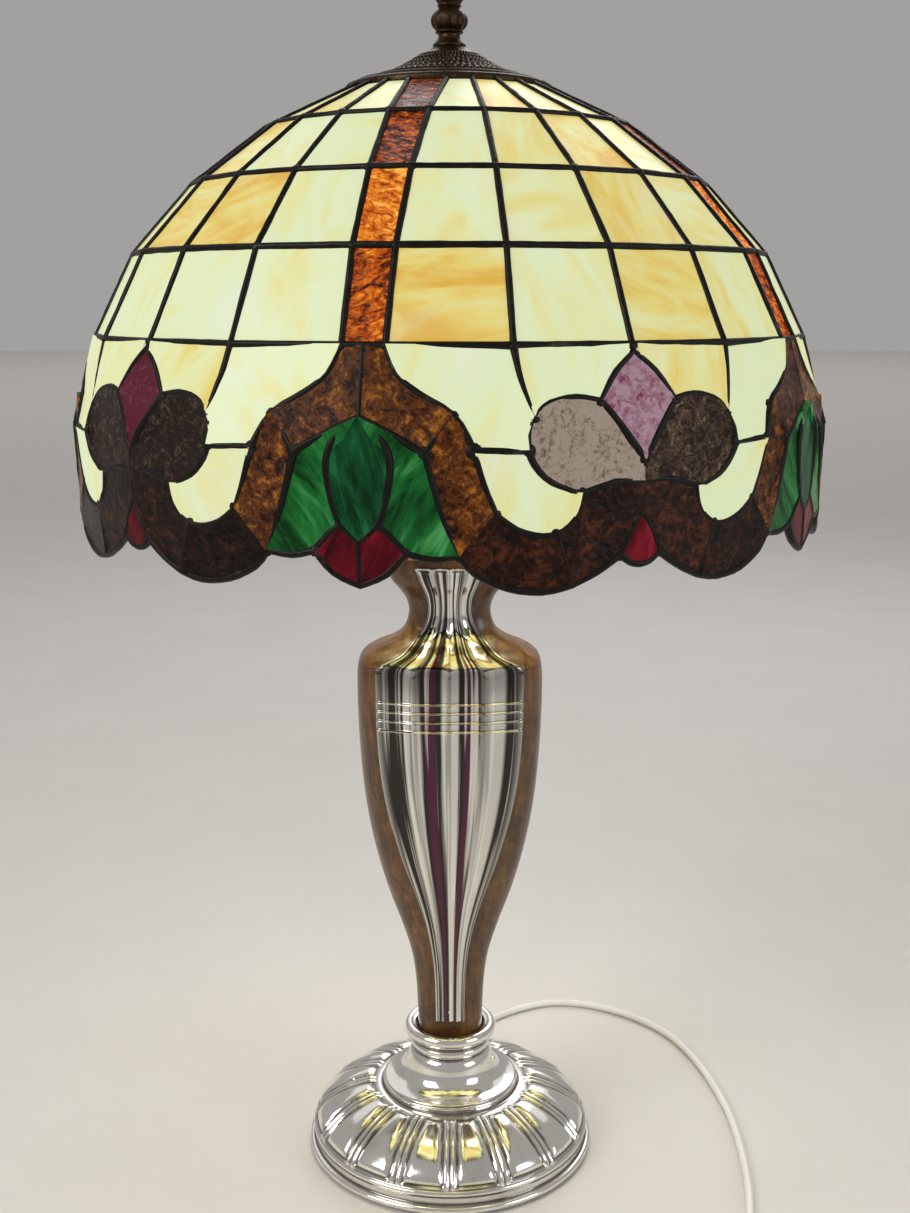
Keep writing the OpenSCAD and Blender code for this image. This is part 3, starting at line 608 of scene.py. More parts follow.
def burr_wood(place):
    height, across = place.part("Z"), place.part("X")
    bend = place.cloud(0.03, 4, 0.6)
    grain = place.stretch(1, 1, 0.16).cloud(0.0035, 5, 0.62, 0.6)
    pores = place.stretch(1, 1, 0.1).cloud(0.0008, 3, 0.6)
    flame = place.stretch(1, 1, 0.45).cloud(0.016, 5, 0.7, 1.6)
    eyes = place.cells(130).step(0.0, 0.35)
    tone = flame * 0.65 + grain * 0.4 + bend * 0.35 - eyes * 0.12
    wood = tone.ramp((0.28, "160B04"), (0.44, "321C0A"), (0.58, "583816"), (0.74, "7A5222"),
                     (0.92, "966C34"))
    seam = 1 - (height + place.cloud(0.02) * 0.004).off(0.3065).step(0.0002, 0.0007)
    crack = 1 - place.stretch(1, 1, 0.5).cloud(0.03, 5, 0.7, 1.2).off(0.5).step(0.0, 0.006)
    old = crack * across.step(0.03, 0.036)
    return {"Base Color": (old * 0.85 + seam * 0.5 + pores.step(0.6, 0.8) * 0.2).tint(wood, "1C0D05"),
            "Roughness": 0.28 + 0.16 * grain, "Coat Weight": 0.35,
            "Coat Roughness": 0.08, "Height": (pores * 0.4 - old * 1.2 - seam * 0.8, 0.00022)}


def wood_body():
    line = spline([(w, z, 0) for z, w in column_line], 5)
    points = []
    for w, z, _ in line:
        for a in round_turn(112):
            x, y = [math.copysign(half * abs(v) ** (2 / 3), v)
                    for half, v in ((w, math.cos(a)), (half_depth(w), math.sin(a)))]
            points.append((x * MM, y * MM, z * MM))
    return points, ended(len(line), 112)


shape, skin = wood_body()
piece("burr_column", shape, skin, finish("burr_wood", burr_wood), "stand", ["wood_column"], 60)

# ---- Silver plates ----
# A pressed plate on the front of the wood and one on the back. Four hollow flutes run up it and
# over the shoulder into the neck, four round cords cross it, and a bright lip closes its top.
plate_line = [
    (84, 8.6, 19.7), (100, 8.9, 20.2), (118, 9.7, 22.3), (134, 11.6, 26), (150, 14.8, 31.2), (166, 19.4, 36.8),
    (182, 24.6, 41.4), (200, 30, 45.7), (220, 35.2, 49.2), (242, 39, 51.5), (268, 41.2, 53), (292, 41.6, 53.5),
    (304, 41.5, 52.4), (308, 37.8, 50.6), (313, 27.6, 43), (320, 20.4, 29.6), (328, 14.6, 24.4), (336, 12.4, 23.8),
    (345, 13.2, 27.6), (353, 16.4, 33.6), (362, 19.8, 36)]
cord_heights = (286.2, 280.9, 275.5, 270.2)


def wood_front(x, w):
    return half_depth(w) * max(0.0, 1 - (abs(x) / w) ** 3) ** (1 / 3)


def between(line, z):
    """Widths at a height, on straight stretches between the given ones."""
    for p, q in zip(line, line[1:]):
        if z <= q[0]:
            t = max(0.0, (z - p[0]) / (q[0] - p[0]))
            return [p[k] + (q[k] - p[k]) * t for k in (1, 2)]
    return list(line[-1][1:])


def flute(t):
    """1 on the ridges between the flutes, at the middle, halfway out and at both edges, 0 in them."""
    f = abs(2 * t) % 1
    return 1 - 4 * f * (1 - f)


def silver_front():
    smooth_line = [(z, w, v) for w, z, v in spline([(w, z, v) for z, w, v in plate_line], 4)]
    levels = [84 + 1.9 * k for k in range(97)] + [268.5 + 0.3 * k for k in range(66)]
    levels += [302 + 0.5 * k for k in range(22)] + [313 + 1.2 * k for k in range(42)]
    levels = sorted(set(round(z, 2) for z in levels if z <= 362) | {362.0})
    row, points, deep, run = 97, [], [], []
    for z in levels:
        half, wide = between(smooth_line, z)
        sink = min(2.9, half / 5)
        bead_near = max(math.exp(-((z - h) / 0.75) ** 2) for h in cord_heights)
        lip = 1.0 if z > 361 else math.exp(-((z - 361.5) / 1.6) ** 4)
        scallop = 2.4 * math.exp(-((z - 305) / 5) ** 2) + 1.6 * math.exp(-((z - 358) / 4) ** 2)
        step = math.exp(-((z - 303.5) / 1.0) ** 2)
        for k in range(row):
            t = 2 * k / (row - 1) - 1
            ridge = flute(t)
            inner = 1 if abs(t) < 0.85 else max(0, (1 - abs(t)) / 0.15)
            edge = max(0, abs(t) - 0.965) / 0.035
            y = -wood_front(t * half, wide) - 2.2 + 0.5 * sink * (1 - ridge) * (1 - 0.6 * lip)
            y += edge ** 2 - 0.85 * bead_near - 0.9 * lip
            points.append((t * half * MM, y * MM, (z - ridge ** 2 * inner * scallop) * MM))
            run.append((t, z / 100, 0))
            # Painted shade and tarnish: the flute hollows and the step at the shoulder are marked dark, less under
            # the cords and not at all on the lip.
            dull = max((1 - ridge) * 0.75 * (1 - bead_near) * (1 - lip), step * 0.5)
            deep.append(dull if lip < 0.5 else 0)
    last = len(levels) - 1
    faces = [(i * row + k, i * row + k + 1, (i + 1) * row + k + 1, (i + 1) * row + k)
             for i in range(last) for k in range(row - 1)]
    border = list(range(row)) + [i * row + row - 1 for i in range(1, last + 1)]
    border += [last * row + k for k in range(row - 2, -1, -1)] + [i * row for i in range(last - 1, 0, -1)]
    first, n = len(points), len(border)
    # The turned-in edge against the wood is marked fully dark, as painted shade.
    for b in border:
        x, y, z = points[b]
        points.append((x * 0.995, y + 4.2 * MM, z))
        deep.append(1)
        run.append(run[b])
    faces += [(border[(i + 1) % n], border[i], first + i, first + (i + 1) % n) for i in range(n)]
    return points, faces, deep, run


def fluted_silver(place):
    """Silver with long dark and plum streaks between two bright bands: the streaks are painted reflection of a
    dark room and tarnish, heavier in the hollows, and the bands are painted reflection of bright light.
    """
    deep, run = place.tag("hollow"), place.tag("run", "Vector")
    over = run.part("X")

    def band(middle, half, value=over):
        return 1 - value.off(middle).step(half * 0.5, half)

    fine = run.stretch(13, 0.5, 1).cloud(1, 3, 0.6)
    broad = run.stretch(4.5, 0.35, 1).cloud(1, 2, 0.5)
    # Painted reflection: two bright bands down the plate where the dark streaks are mostly left out.
    bright_reflection_bands = (band(0.07, 0.07) + band(0.66, 0.13) * 0.9).capped(1)
    # Painted reflection and tarnish: long dark streaks along the flutes, stronger where the mesh marks a hollow.
    dark = ((fine - 0.5) * 2.2 + (broad - 0.5) * 2.4 + 0.62).step(0.2, 0.75)
    dark = (dark * (0.45 + deep)).capped(0.96) * (1 - bright_reflection_bands * 0.9)
    # Painted reflection and tarnish: plum streaks to both sides of the middle, where the dark streaks turn plum.
    plum = band(0.27, 0.1, over.off(0)) * (fine + 0.3).capped(0.9)
    looks = silver_plate(place)
    looks["Base Color"] = dark.tint("F3F0EA", plum.tint("241E1B", "5E1E42"))
    return looks


shape, skin, deep, run = silver_front()
plate_silver = finish("fluted_silver", fluted_silver)
marks = {"hollow": ("FLOAT", deep), "run": ("FLOAT_VECTOR", run)}
piece("front_silver", shape, skin, plate_silver, "stand", ["front_plate"], 32, marks)
piece("back_silver", [(-x, -y, z) for x, y, z in shape], skin, plate_silver, "stand",
      ["back_plate"], 32, marks)
plain_silver = finish("plain_silver", lambda place: silver_plate(place, 0.05))
dress(plain_silver, "silver_plate", "plate_pins")

# ---- Rod, cluster and lamp holders ----
# A threaded brass tube ties base, bell and wood together. Above it a turned cluster body holds
# two angled holders with porcelain inserts, and two frosted bulbs light the shade from inside.
def steel_look(place):
    pitch = place.part("Z") * 6283
    thread = pitch.sum("SINE", pitch)
    grime = place.cloud(0.006, 4)
    return {"Base Color": grime.tint("A89B7C", "6E6248"), "Metallic": 1.0,
            "Roughness": 0.28 + 0.25 * grime, "Height": (thread, 0.00025)}


def porcelain(place):
    crackle = place.cloud(0.004, 4)
    return {"Base Color": crackle.tint("E9E4D8", "F6F3EC"), "Roughness": 0.12 + 0.1 * crackle,
            "Coat Weight": 0.3, "Height": (crackle, 0.00003)}


def lit_globe(place):
    frost = place.cloud(0.0012, 3)
    glow = place.cloud(0.02, 2)
    return {"Base Color": frost.tint("F6EFE0", "FFFAF0"), "Roughness": 0.45 + 0.1 * frost,
            "Emission Color": glow.tint("FFE2A8", "FFF0CC"), "Emission Strength": 4.0,
            "Height": (frost, 0.00004)}


thread_brass = finish("threaded_tube", steel_look)
dress(thread_brass, "steel", "column_rod", "shade_riser", "finial_stud")
dress(brass, "brass", "column_cap", "cap_nut", "cluster_body", "holder_arms", "holder_shells", "riser_coupler",
      "support_wheel", "wheel_nuts", "shade_ring", "finial_bush")
dress(finish("porcelain", porcelain), "porcelain", "holder_inserts")
dress(nickel, "steel", "bulb_caps")
dress(finish("frosted_bulb", lit_globe), "bulb_glass", "bulb_globes")

for side in (-1, 1):
    glow = bpy.data.lights.new("bulb_light", "POINT")
    glow.energy, glow.shadow_soft_size, glow.color = 1.3, 0.03, (1, 0.93, 0.82)
    bulb = put("bulb_light", glow, (side * 0.075, 0, 0.452))
    bulb.visible_camera = bulb.visible_glossy = False

# ---- Glass of the dome ----
# Flat panes cut from sheets of opal glass, four rows of four between the five amber strips.
# Cream sheet with honey and white clouds in the panes, rippled amber in the strips.
ring_r = (54, 98.6, 137.4, 169.3, 190.5, 203)
ring_h = (617, 596, 567, 531.5, 489, 445)
strip_wide, glass_t, columns = 19.4, 2.6, 4
turns = [-11 + 72 * k for k in range(5)]
chance = random.Random(11)


def polar(r, a, h):
    return Vector((r * math.sin(math.radians(a)), -r * math.cos(math.radians(a)), h))


def strip_half(r):
    return math.degrees(math.asin(strip_wide / 2 / r))


def seam_angle(i, j):
    s = strip_half(ring_r[i])
    return s + j * (72 - 2 * s) / columns


def on_ring(i, a):
    return polar(ring_r[i], a, ring_h[i])


class Glazing:
    """The panes of one kind of glass, collected into one mesh with what each pane's sheet is like."""

    def __init__(self):
        self.points, self.faces, self.grain, self.tone = [], [], [], []

    def add(self, top, under, faces, tone, lean, normal):
        """A pane from its top and under points, with its grain at its own angle on its own bit of sheet."""
        start, n = len(self.points), len(top)
        middle = sum(top, Vector()) / n
        across = Vector((0, 0, 1)).cross(normal).normalized()
        upward = normal.cross(across)
        spin, shift = lean + chance.uniform(-0.5, 0.5), Vector([chance.uniform(-2, 2) for _ in range(3)])
        c, s = math.cos(spin), math.sin(spin)
        for p in top + under:
            q = (p - middle) * MM
            u, v = q.dot(across), q.dot(upward)
            self.points.append(p * MM)
            self.grain.append(shift + Vector((c * u - s * v, s * u + c * v, q.dot(normal))))
            self.tone.append(tone)
        self.faces += [tuple(start + k for k in f) for f in faces]

    def made(self, name, look, slot_name, nodes):
        return piece(name, self.points, self.faces, look, "shade", nodes, 30,
                     {"grain": ("FLOAT_VECTOR", self.grain), "tone": ("FLOAT", self.tone)})


def pane(glazing, corners, tone, lean=0.0, ripple=0.12, across=6, down=6):
    """A four sided pane with slightly uneven faces, as rolled sheet has."""
    a, b, c, d = corners
    normal = (c - a).cross(d - b).normalized()
    seed = Vector([chance.uniform(-50, 50) for _ in range(3)])
    top, under = [], []
    for i in range(down + 1):
        for j in range(across + 1):
            u, v = j / across, i / down
            p = (a * (1 - u) + b * u) * (1 - v) + (d * (1 - u) + c * u) * v
            wave = ripple * noise.noise(p * 0.09 + seed)
            top.append(p - normal * wave)
            under.append(p + normal * (glass_t + wave))
    w = across + 1
    n = w * (down + 1)
    faces = [(i * w + j, (i + 1) * w + j, (i + 1) * w + j + 1, i * w + j + 1)
             for i in range(down) for j in range(across)]
    faces += [tuple(n + k for k in f[::-1]) for f in faces]
    edge = list(range(w)) + [i * w + across for i in range(1, down + 1)]
    edge += [down * w + j for j in range(across - 1, -1, -1)] + [i * w for i in range(down - 1, 0, -1)]
    faces += [(e, f, n + f, n + e) for e, f in zip(edge, edge[1:] + edge[:1])]
    glazing.add(top, under, faces, tone, lean, -normal)


def bounds_of(row, turn, left, right):
    """Corners of a pane between two seams of a row. The top row starts a little below the cap's rim."""
    top = [on_ring(row, turn + seam(row)) for seam in (left, right)]
    low = [on_ring(row + 1, turn + seam(row + 1)) for seam in (right, left)]
    if row == 0:
        top = [p + (q - p) * 0.08 for p, q in zip(top, low[::-1])]
    return top + low


# how much honey is in the panes of two repeats, row by row from the cap, where it isn't left to chance
honey = {0: ((0.2, 0.75, 0.6, None), (0.2, 0.5, 0.75, 0.55), (0.3, 0.42, 0.66, 0.5), (0.74, 0.28, 0.58, 0.36)),
         4: ((None, None, 0.45, 0.3), (None, 0.55, 0.12, 0.16), (None, 0.68, 0.82, 0.24), (None, 0.1, 0.05, 0.2))}


def glazed(tint, dim, glow, rough, height, depth):
    """Sockets of glass lit from behind: a dim face colour, the same colour glowing, and little shine."""
    return {"Base Color": tint.stretch(dim, dim, dim), "Emission Color": tint, "Emission Strength": glow,
            "Roughness": rough, "Specular IOR Level": 0.14, "Height": (height, depth)}


def cream_opal(place):
    on = place.tag("grain", "Vector")
    swirl = on.stretch(1, 0.34, 1).cloud(0.03, 5, 0.58, 1.6)
    wisp = on.stretch(1, 0.18, 1).cloud(0.01, 4, 0.6, 0.8)
    milk = on.stretch(1, 0.5, 1).cloud(0.05, 3, 0.5, 1.0)
    amount = (swirl - 0.5) * 1.5 + (wisp - 0.5) * 0.6 + place.tag("tone")
    tint = amount.ramp((0.1, "E2EDC0"), (0.4, "E6E6A6"), (0.7, "E8D47A"), (1.0, "E2B450"))
    tint = (milk.step(0.52, 0.75) * 0.5).tint(tint, "E6EFE0")
    return glazed(tint, 0.45, 0.62, 0.2 + 0.12 * wisp, swirl * 0.6 + on.cloud(0.004, 2) * 0.25, 0.0006)


def amber_rolled(place):
    on = place.tag("grain", "Vector")
    ripple = on.stretch(1, 2.1, 1).cloud(0.011, 4, 0.6, 1.8)
    fine = on.cloud(0.0032, 3, 0.6, 0.6)
    depth = (ripple - 0.5) * 1.7 + (fine - 0.5) * 0.9 + 0.24 + place.tag("tone") * 0.5
    tint = depth.ramp((0.08, "1E0802"), (0.26, "5E2206"), (0.48, "AA490A"), (0.72, "E07A1A"), (0.95, "FBBB50"))
    return glazed(tint, 0.14, 0.95, 0.14 + 0.1 * fine, ripple + fine * 0.5, 0.0011)


cream_glass = finish("cream_opal_glass", cream_opal)
amber_glass = finish("amber_rolled_glass", amber_rolled)
for row in range(4):
    glazing = Glazing()
    for k, turn in enumerate(turns):
        for j in range(columns):
            corners = bounds_of(row, turn, lambda i: seam_angle(i, j), lambda i: seam_angle(i, j + 1))
            tone = chance.choice((0.1, 0.18, 0.3, 0.4, 0.55, 0.75))
            if k in honey and honey[k][row][j] is not None:
                tone = honey[k][row][j]
            pane(glazing, corners, tone, chance.choice((0, 0, 1.57)))
    glazing.made(f"cream_panes_{row + 1}", cream_glass, "cream_glass", [f"cream_row_{row + 1}"])

glazing = Glazing()
for turn in turns:
    for row, tone in enumerate((0.02, 0.1, 0.85, 0.42)):
        corners = bounds_of(row, turn, lambda i: -strip_half(ring_r[i]), lambda i: strip_half(ring_r[i]))
        pane(glazing, corners, tone, 0, 0.45, 8, 20)
glazing.made("amber_strip_panes", amber_glass, "amber_glass", ["amber_strips"])

# ---- Glass of the skirt ----
# Below the dome the panes follow drawn lines: a brown branch out of each amber strip, green
# leaves and a bud over a red tulip, and pansies with brown petals between them. Each piece is
# flat and leans with the skirt. Half of a repeat is drawn and mirrored.
def skirt_line(points, turn=0):
    """Points given as angles and heights, put on the skirt, which bends at the last ring."""
    made = []
    for a, h in points:
        r = 203 + (190.5 - 203) * (h - 445) / 44 if h > 445 else 203 + (201 - 203) * (445 - h) / 70
        made.append(polar(r, a + turn, h))
    return made


def smooth(points):
    return [(p[0], p[1]) for p in spline([(a, h, 0) for a, h in points], 3)]


def mirrored(points, about=0):
    return [(2 * about - a, h) for a, h in reversed(points)]


side = strip_half(ring_r[4])
first_seam = side + (72 - 2 * side) / 4
branch_out = smooth([(side, 489), (4.6, 477), (7.4, 469), (11.6, 460), (14, 446), (15.4, 431), (16.8, 418)])
scroll_in = smooth([(16.8, 418), (19.4, 411), (22.6, 408), (25.2, 410.5), (27, 418), (27.6, 426.6)])
branch_in = smooth([(0, 459), (3.2, 454), (8.2, 444.5)])
branch_leg = smooth([(8.2, 444.5), (9.2, 431), (10.5, 416), (12.4, 400)])
bud_side = smooth([(0, 459), (2.8, 451), (4, 440), (3.5, 425), (2.3, 413), (0, 405.5)])
petal_side = smooth([(2.3, 413), (3.7, 409), (5.8, 401)])
tulip_foot = smooth([(5.8, 401), (3.3, 391.5), (0, 386)])
leaf_foot = smooth([(5.8, 401), (9, 398.5), (12.4, 400)])
scroll_foot = smooth([(12.4, 400), (14.4, 392), (18.4, 385.4), (22.8, 383.2), (26.6, 385.5)])
lip_foot = smooth([(26.6, 385.5), (30, 391), (33.2, 398.4)])
ruby_foot = smooth([(33.2, 398.4), (34.6, 394.4), (36, 393.2)])
ruby_side = smooth([(36, 417), (34.4, 408), (33.2, 398.4)])
top_side = smooth([(36, 486), (33, 477.5), (30.5, 465.4)])
top_foot = smooth([(30.5, 465.4), (33.2, 454), (36, 439.5)])
petal_round = smooth([(30.5, 465.4), (27.2, 467), (23.8, 464.8), (21.6, 459), (20.7, 451), (21, 442),
                      (22.8, 433.4), (25.4, 428.4), (27.6, 426.6), (32, 430.6), (36, 430.4)])
seam = smooth([(first_seam, 489), (20, 478), (20.8, 468), (21.6, 459)])
bend_a, bend_b = (14.1, 445), (20.8, 445)


def cut_piece(glazing, outline, turn, tone, lean):
    """A nearly flat piece of that outline on the skirt, with an uneven face."""
    rim = skirt_line(outline, turn)
    middle = sum(rim, Vector()) / len(rim)
    normal = Vector()
    for p, q in zip(rim, rim[1:] + rim[:1]):
        normal += (p - middle).cross(q - middle)
    normal.normalize()
    if normal.dot(Vector((middle.x, middle.y, 0))) < 0:
        normal = -normal
        rim = rim[::-1]
    rim = [p - normal * 0.85 * (p - middle).dot(normal) for p in rim]
    seed = Vector([chance.uniform(-50, 50) for _ in range(3)])
    inner = [[p + (middle - p) * s for p in rim] for s in (0, 0.12, 0.3)]
    top = [p + normal * (0.9 + 0.16 * noise.noise(p * 0.1 + seed)) for ring in inner for p in ring]
    n = len(rim)
    under = [p - normal * 1.7 for p in rim]
    faces = ring_faces(3, n) + [tuple(range(2 * n, 3 * n))]
    faces += [(3 * n + k, 3 * n + (k + 1) % n, (k + 1) % n, k) for k in range(n)]
    faces.append(tuple(range(4 * n - 1, 3 * n - 1, -1)))
    glazing.add(top, under, faces, tone, lean, normal)


# pieces whose sheet is clearly paler or darker than its neighbours: name, repeat, and drawn or mirrored
chosen = {("pansy_top_panes", 0, 0): 1.0, ("pansy_top_panes", 4, 0): 0.0, ("petal_panes", 0, 0): 0.95,
          ("petal_panes", 1, 1): 0.3, ("petal_panes", 4, 0): 0.15, ("petal_panes", 0, 1): 0.1}


def glaze(name, outlines, look, slot_name, nodes, tones=(0.2, 0.8), lean=0.0, both=True):
    """All pieces of one kind, five times round, with the mirror image of each where both sides have it."""
    glazing = Glazing()
    for k, turn in enumerate(turns):
        for outline in outlines:
            for side, points in enumerate((outline, mirrored(outline)) if both else (outline,)):
                tone = chance.uniform(*tones)
                cut_piece(glazing, points, turn, chosen.get((name, k, side), tone), -lean if side else lean)
    glazing.made(name, look, slot_name, nodes)


upper_cream = branch_out[:10] + [bend_a, bend_b, (20.7, 451)] + seam[::-1]
flower_cream = seam[::-1] + [(35.4, 489)] + top_side[1:] + petal_round[1:9]
scroll_cream = [bend_b, bend_a] + branch_out[13:] + scroll_in[1:] + petal_round[15:24][::-1]
glaze("cream_skirt_panes", [upper_cream, flower_cream, scroll_cream], cream_glass, "cream_glass",
      ["cream_skirt"], (0.05, 0.5))


def granite_glass(dark, mid, light, glow, size=0.0075, shine=0.16, tone_share=0.3):
    """Rough rolled glass with a crackled dark and light figure, lit a little from behind."""
    def recipe(place):
        on = place.tag("grain", "Vector")
        blot = on.cloud(size, 5, 0.62, 1.2)
        crackle = on.cloud(size * 0.28, 4, 0.65, 0.8)
        cells = on.cells(0.8 / size)
        depth = (blot - 0.5) * 1.3 + (crackle - 0.5) * 0.9 + 0.35 + (place.tag("tone") - 0.4) * tone_share
        tint = depth.ramp((0.15, dark), (0.42, mid), (0.78, light))
        bumps = blot * 0.5 + crackle * 0.5 + cells * 0.6
        return glazed(tint, 0.25, glow, shine + 0.14 * crackle, bumps, 0.0012)
    return recipe


brown_glass = finish("brown_granite_glass", granite_glass("1C0A03", "5C3010", "B87420", 0.7, 0.009))
dark_glass = finish("dark_brown_glass", granite_glass("0B0402", "241009", "5A2C12", 0.7, 0.011))
petal_glass = finish("petal_glass", granite_glass("1C0F0A", "55412F", "A89888", 0.6, 0.006, 0.2, 0.75))
mauve_glass = finish("mauve_glass", granite_glass("5A1428", "80384E", "B08E9E", 0.62, 0.008, 0.16, 0.6))
upper_branch = [(0, 489)] + branch_out[:10] + branch_in[::-1]
lower_branch = branch_out[9:] + branch_leg[::-1]
glaze("branch_panes", [upper_branch, lower_branch], brown_glass, "brown_glass", ["branch_glass"], (0.1, 0.8))
scroll = scroll_in[:9] + [(24.4, 409.4)] + scroll_foot[::-1]
glaze("scroll_panes", [scroll], dark_glass, "brown_glass", ["scroll_glass"], (0.1, 0.7))


def streaky_glass(dark, mid, light, glow):
    """Glass with long wisps of a paler colour drawn through it."""
    def recipe(place):
        on = place.tag("grain", "Vector")
        wisp = on.stretch(1, 0.16, 1).cloud(0.006, 4, 0.6, 0.7)
        cloud = on.stretch(1, 0.4, 1).cloud(0.02, 4, 0.55, 1.0)
        depth = (wisp - 0.5) * 1.3 + (cloud - 0.5) * 1.1 + 0.3 + place.tag("tone") * 0.2
        tint = depth.ramp((0.15, dark), (0.45, mid), (0.85, light))
        return glazed(tint, 0.25, glow, 0.16 + 0.1 * wisp, cloud + on.cloud(0.003, 2) * 0.2, 0.0008)
    return recipe


leaf_outline = branch_in + branch_leg[1:] + leaf_foot[::-1][1:] + petal_side[::-1][1:] + bud_side[1:12][::-1]
leaf_glass = finish("leaf_green_glass", streaky_glass("0A3516", "1B6A2E", "56A860", 0.62))
glaze("leaf_panes", [leaf_outline], leaf_glass, "green_glass", ["leaf_glass"], (0.2, 0.6), 0.5)
bud_glass = finish("bud_green_glass", streaky_glass("062A14", "12502A", "2F8248", 0.75))
bud = bud_side + mirrored(bud_side)[1:-1]
glaze("bud_panes", [bud], bud_glass, "green_glass", ["bud_glass"], (0.2, 0.6), both=False)
red_glass = finish("red_glass", streaky_glass("34040C", "640A18", "8E1C2E", 0.6))
tulip = bud_side[12:] + tulip_foot[::-1] + petal_side[::-1][1:-1]
glaze("tulip_panes", [tulip], red_glass, "red_glass", ["tulip_glass"])
half_ruby = ruby_side + ruby_foot[1:]
glaze("ruby_panes", [half_ruby + mirrored(half_ruby, 36)[1:-1]], red_glass, "red_glass", ["ruby_drops"],
      both=False)
half_top = top_side + top_foot[1:]
pansy_top = half_top + mirrored(half_top, 36)[1:-1]
glaze("pansy_top_panes", [pansy_top], mauve_glass, "mauve_glass", ["pansy_tops"], both=False)
petal = petal_round + [(36, 439.5)] + top_foot[::-1][1:-1]
glaze("petal_panes", [petal], petal_glass, "brown_glass", ["pansy_petals"], (0.1, 0.9))
lip = [(24.4, 409.4)] + scroll_in[9:] + petal_round[25:] + ruby_side + lip_foot[::-1][1:]
glaze("lip_panes", [lip], dark_glass, "brown_glass", ["pansy_lips"])

# ---- Lead lines ----
# Copper foil round every piece, soldered inside and out into a low round bead, with a blob
# where lines meet, and all of it patinated black.
def black_solder(place):
    dull = place.cloud(0.004, 4, 0.6)
    bare = place.cloud(0.013, 4).step(0.62, 0.78)
    return {"Base Color": (bare * 0.5 + dull * 0.2).tint("131211", "5C5850"),
            "Metallic": 0.85, "Roughness": 0.34 + 0.25 * dull, "Height": (dull, 0.00035)}


solder = finish("black_solder", black_solder)


def squarely_out(p):
    """Which way the glass faces there: upwards too on the dome, and level on the skirt."""
    return Vector((p.x, p.y, math.hypot(p.x, p.y) * (0.8 if p.z > 446 else 0.02))).normalized()


class Leading:
    """Soldered lines collected into one mesh."""

    def __init__(self):
        self.points, self.faces = [], []

    def keep(self, faces):
        start = len(self.points)
        self.faces += [tuple(start + k for k in f[::-1]) for f in faces]

    def bead(self, points, wide=3.7, deep=4.4, loop=False, gap=5.0):
        """A bead along points, slightly uneven, with its section turned to face out of the shade."""
        line, ends = [], points + points[:1] if loop else points
        for p, q in zip(ends, ends[1:]):
            steps = max(1, round((q - p).length / gap))
            line += [p + (q - p) * k / steps for k in range(steps)]
        if not loop:
            line.append(points[-1])
        n, around = len(line), 10
        self.keep(ring_faces(n, around, True) if loop else ended(n, around))
        for i, p in enumerate(line):
            before = line[i - 1] if loop or i else line[0]
            after = line[(i + 1) % n] if loop or i < n - 1 else line[-1]
            side = (after - before).cross(squarely_out(p)).normalized()
            out = side.cross(after - before).normalized()
            w = wide / 2 * (1 + 0.16 * noise.noise(p * 0.11))
            d = deep / 2 * (1 + 0.14 * noise.noise(p * 0.17 + Vector((9, 3, 5))))
            self.points += [(p + side * w * math.cos(a) - out * (0.75 - d * math.sin(a))) * MM
                            for a in round_turn(around)]

    def blob(self, p, wide=3.2, high=1.3):
        """A flattened drop of solder on a joint."""
        out = squarely_out(p)
        side = out.cross(Vector((0, 0, 1))).normalized()
        up = side.cross(out)
        wide *= 1 + 0.25 * noise.noise(p * 0.3)
        self.keep(ended(5, 10))
        for t in (math.radians(80 - 40 * i) for i in range(5)):
            self.points += [(p + (side * math.cos(a) + up * math.sin(a)) * wide * math.cos(t)
                             + out * (high * math.sin(t) - 0.1)) * MM for a in round_turn(10)]

    def made(self, name, nodes):
        return piece(name, self.points, self.faces, solder, "shade", nodes, 60)


rings, ribs = Leading(), Leading()
for i in range(5):
    crossings = [on_ring(i, turn + seam_angle(i, j)) for turn in turns for j in range(5)]
    if i == 0:
        rings.bead(crossings, 9.4, 3.8, True)
    else:
        rings.bead(crossings, loop=True)
        for p in crossings:
            rings.blob(p, 2.7, 1.5)
for turn in turns:
    for j in range(5):
        ribs.bead([on_ring(i, turn + seam_angle(i, j)) for i in range(5)], 3.5)
rings.made("ring_beads", ["lead_rings"])
ribs.made("rib_beads", ["lead_ribs"])
paired = [branch_out + scroll_in[1:], branch_leg, petal_side, seam, [bend_a, bend_b],
          [(11.6, 460), (8.2, 444.5)], [(16.8, 418), (12.4, 400)], [(24.4, 409.4), (26.6, 385.5)]]
single = [[(0, 489), (0, 459)], [(0, 405.5), (0, 386)], [(36, 439.5), (36, 417)],
          mirrored(branch_in) + branch_in[1:], petal_round + mirrored(petal_round, 36)[1:],
          ruby_side[::-1] + mirrored(ruby_side[::-1], 36)[1:]]
joints = [(11.6, 460), (8.2, 444.5), (16.8, 418), (12.4, 400), (24.4, 409.4), (5.8, 401), (2.3, 413),
          (30.5, 465.4), (27.6, 426.6), (33.2, 398.4), (21.6, 459), (20.8, 445), (14.1, 445)]
rim_half = tulip_foot[::-1] + leaf_foot[1:] + scroll_foot[1:] + lip_foot[1:] + ruby_foot[1:]
rim_line = rim_half + mirrored(rim_half, 36)[1:-1]
inside, rim = Leading(), Leading()
for turn in turns:
    for points in paired:
        inside.bead(skirt_line(points, turn))
        inside.bead(skirt_line(mirrored(points), turn))
    for points in single:
        inside.bead(skirt_line(points, turn))
    for points in (bud, pansy_top):
        inside.bead(skirt_line(points, turn), 3.7, 4.6, True)
    for a, h in joints:
        for p in skirt_line([(a, h), (-a, h)], turn):
            inside.blob(p)
    for p in skirt_line([(0, 459), (0, 405.5), (36, 439.5), (36, 430.4), (36, 417)], turn):
        inside.blob(p)
inside.made("skirt_beads", ["lead_skirt"])
rim.bead([p for turn in turns for p in skirt_line(rim_line, turn)], 3.8, 4.4, True)
rim.made("rim_bead", ["lead_rim"])

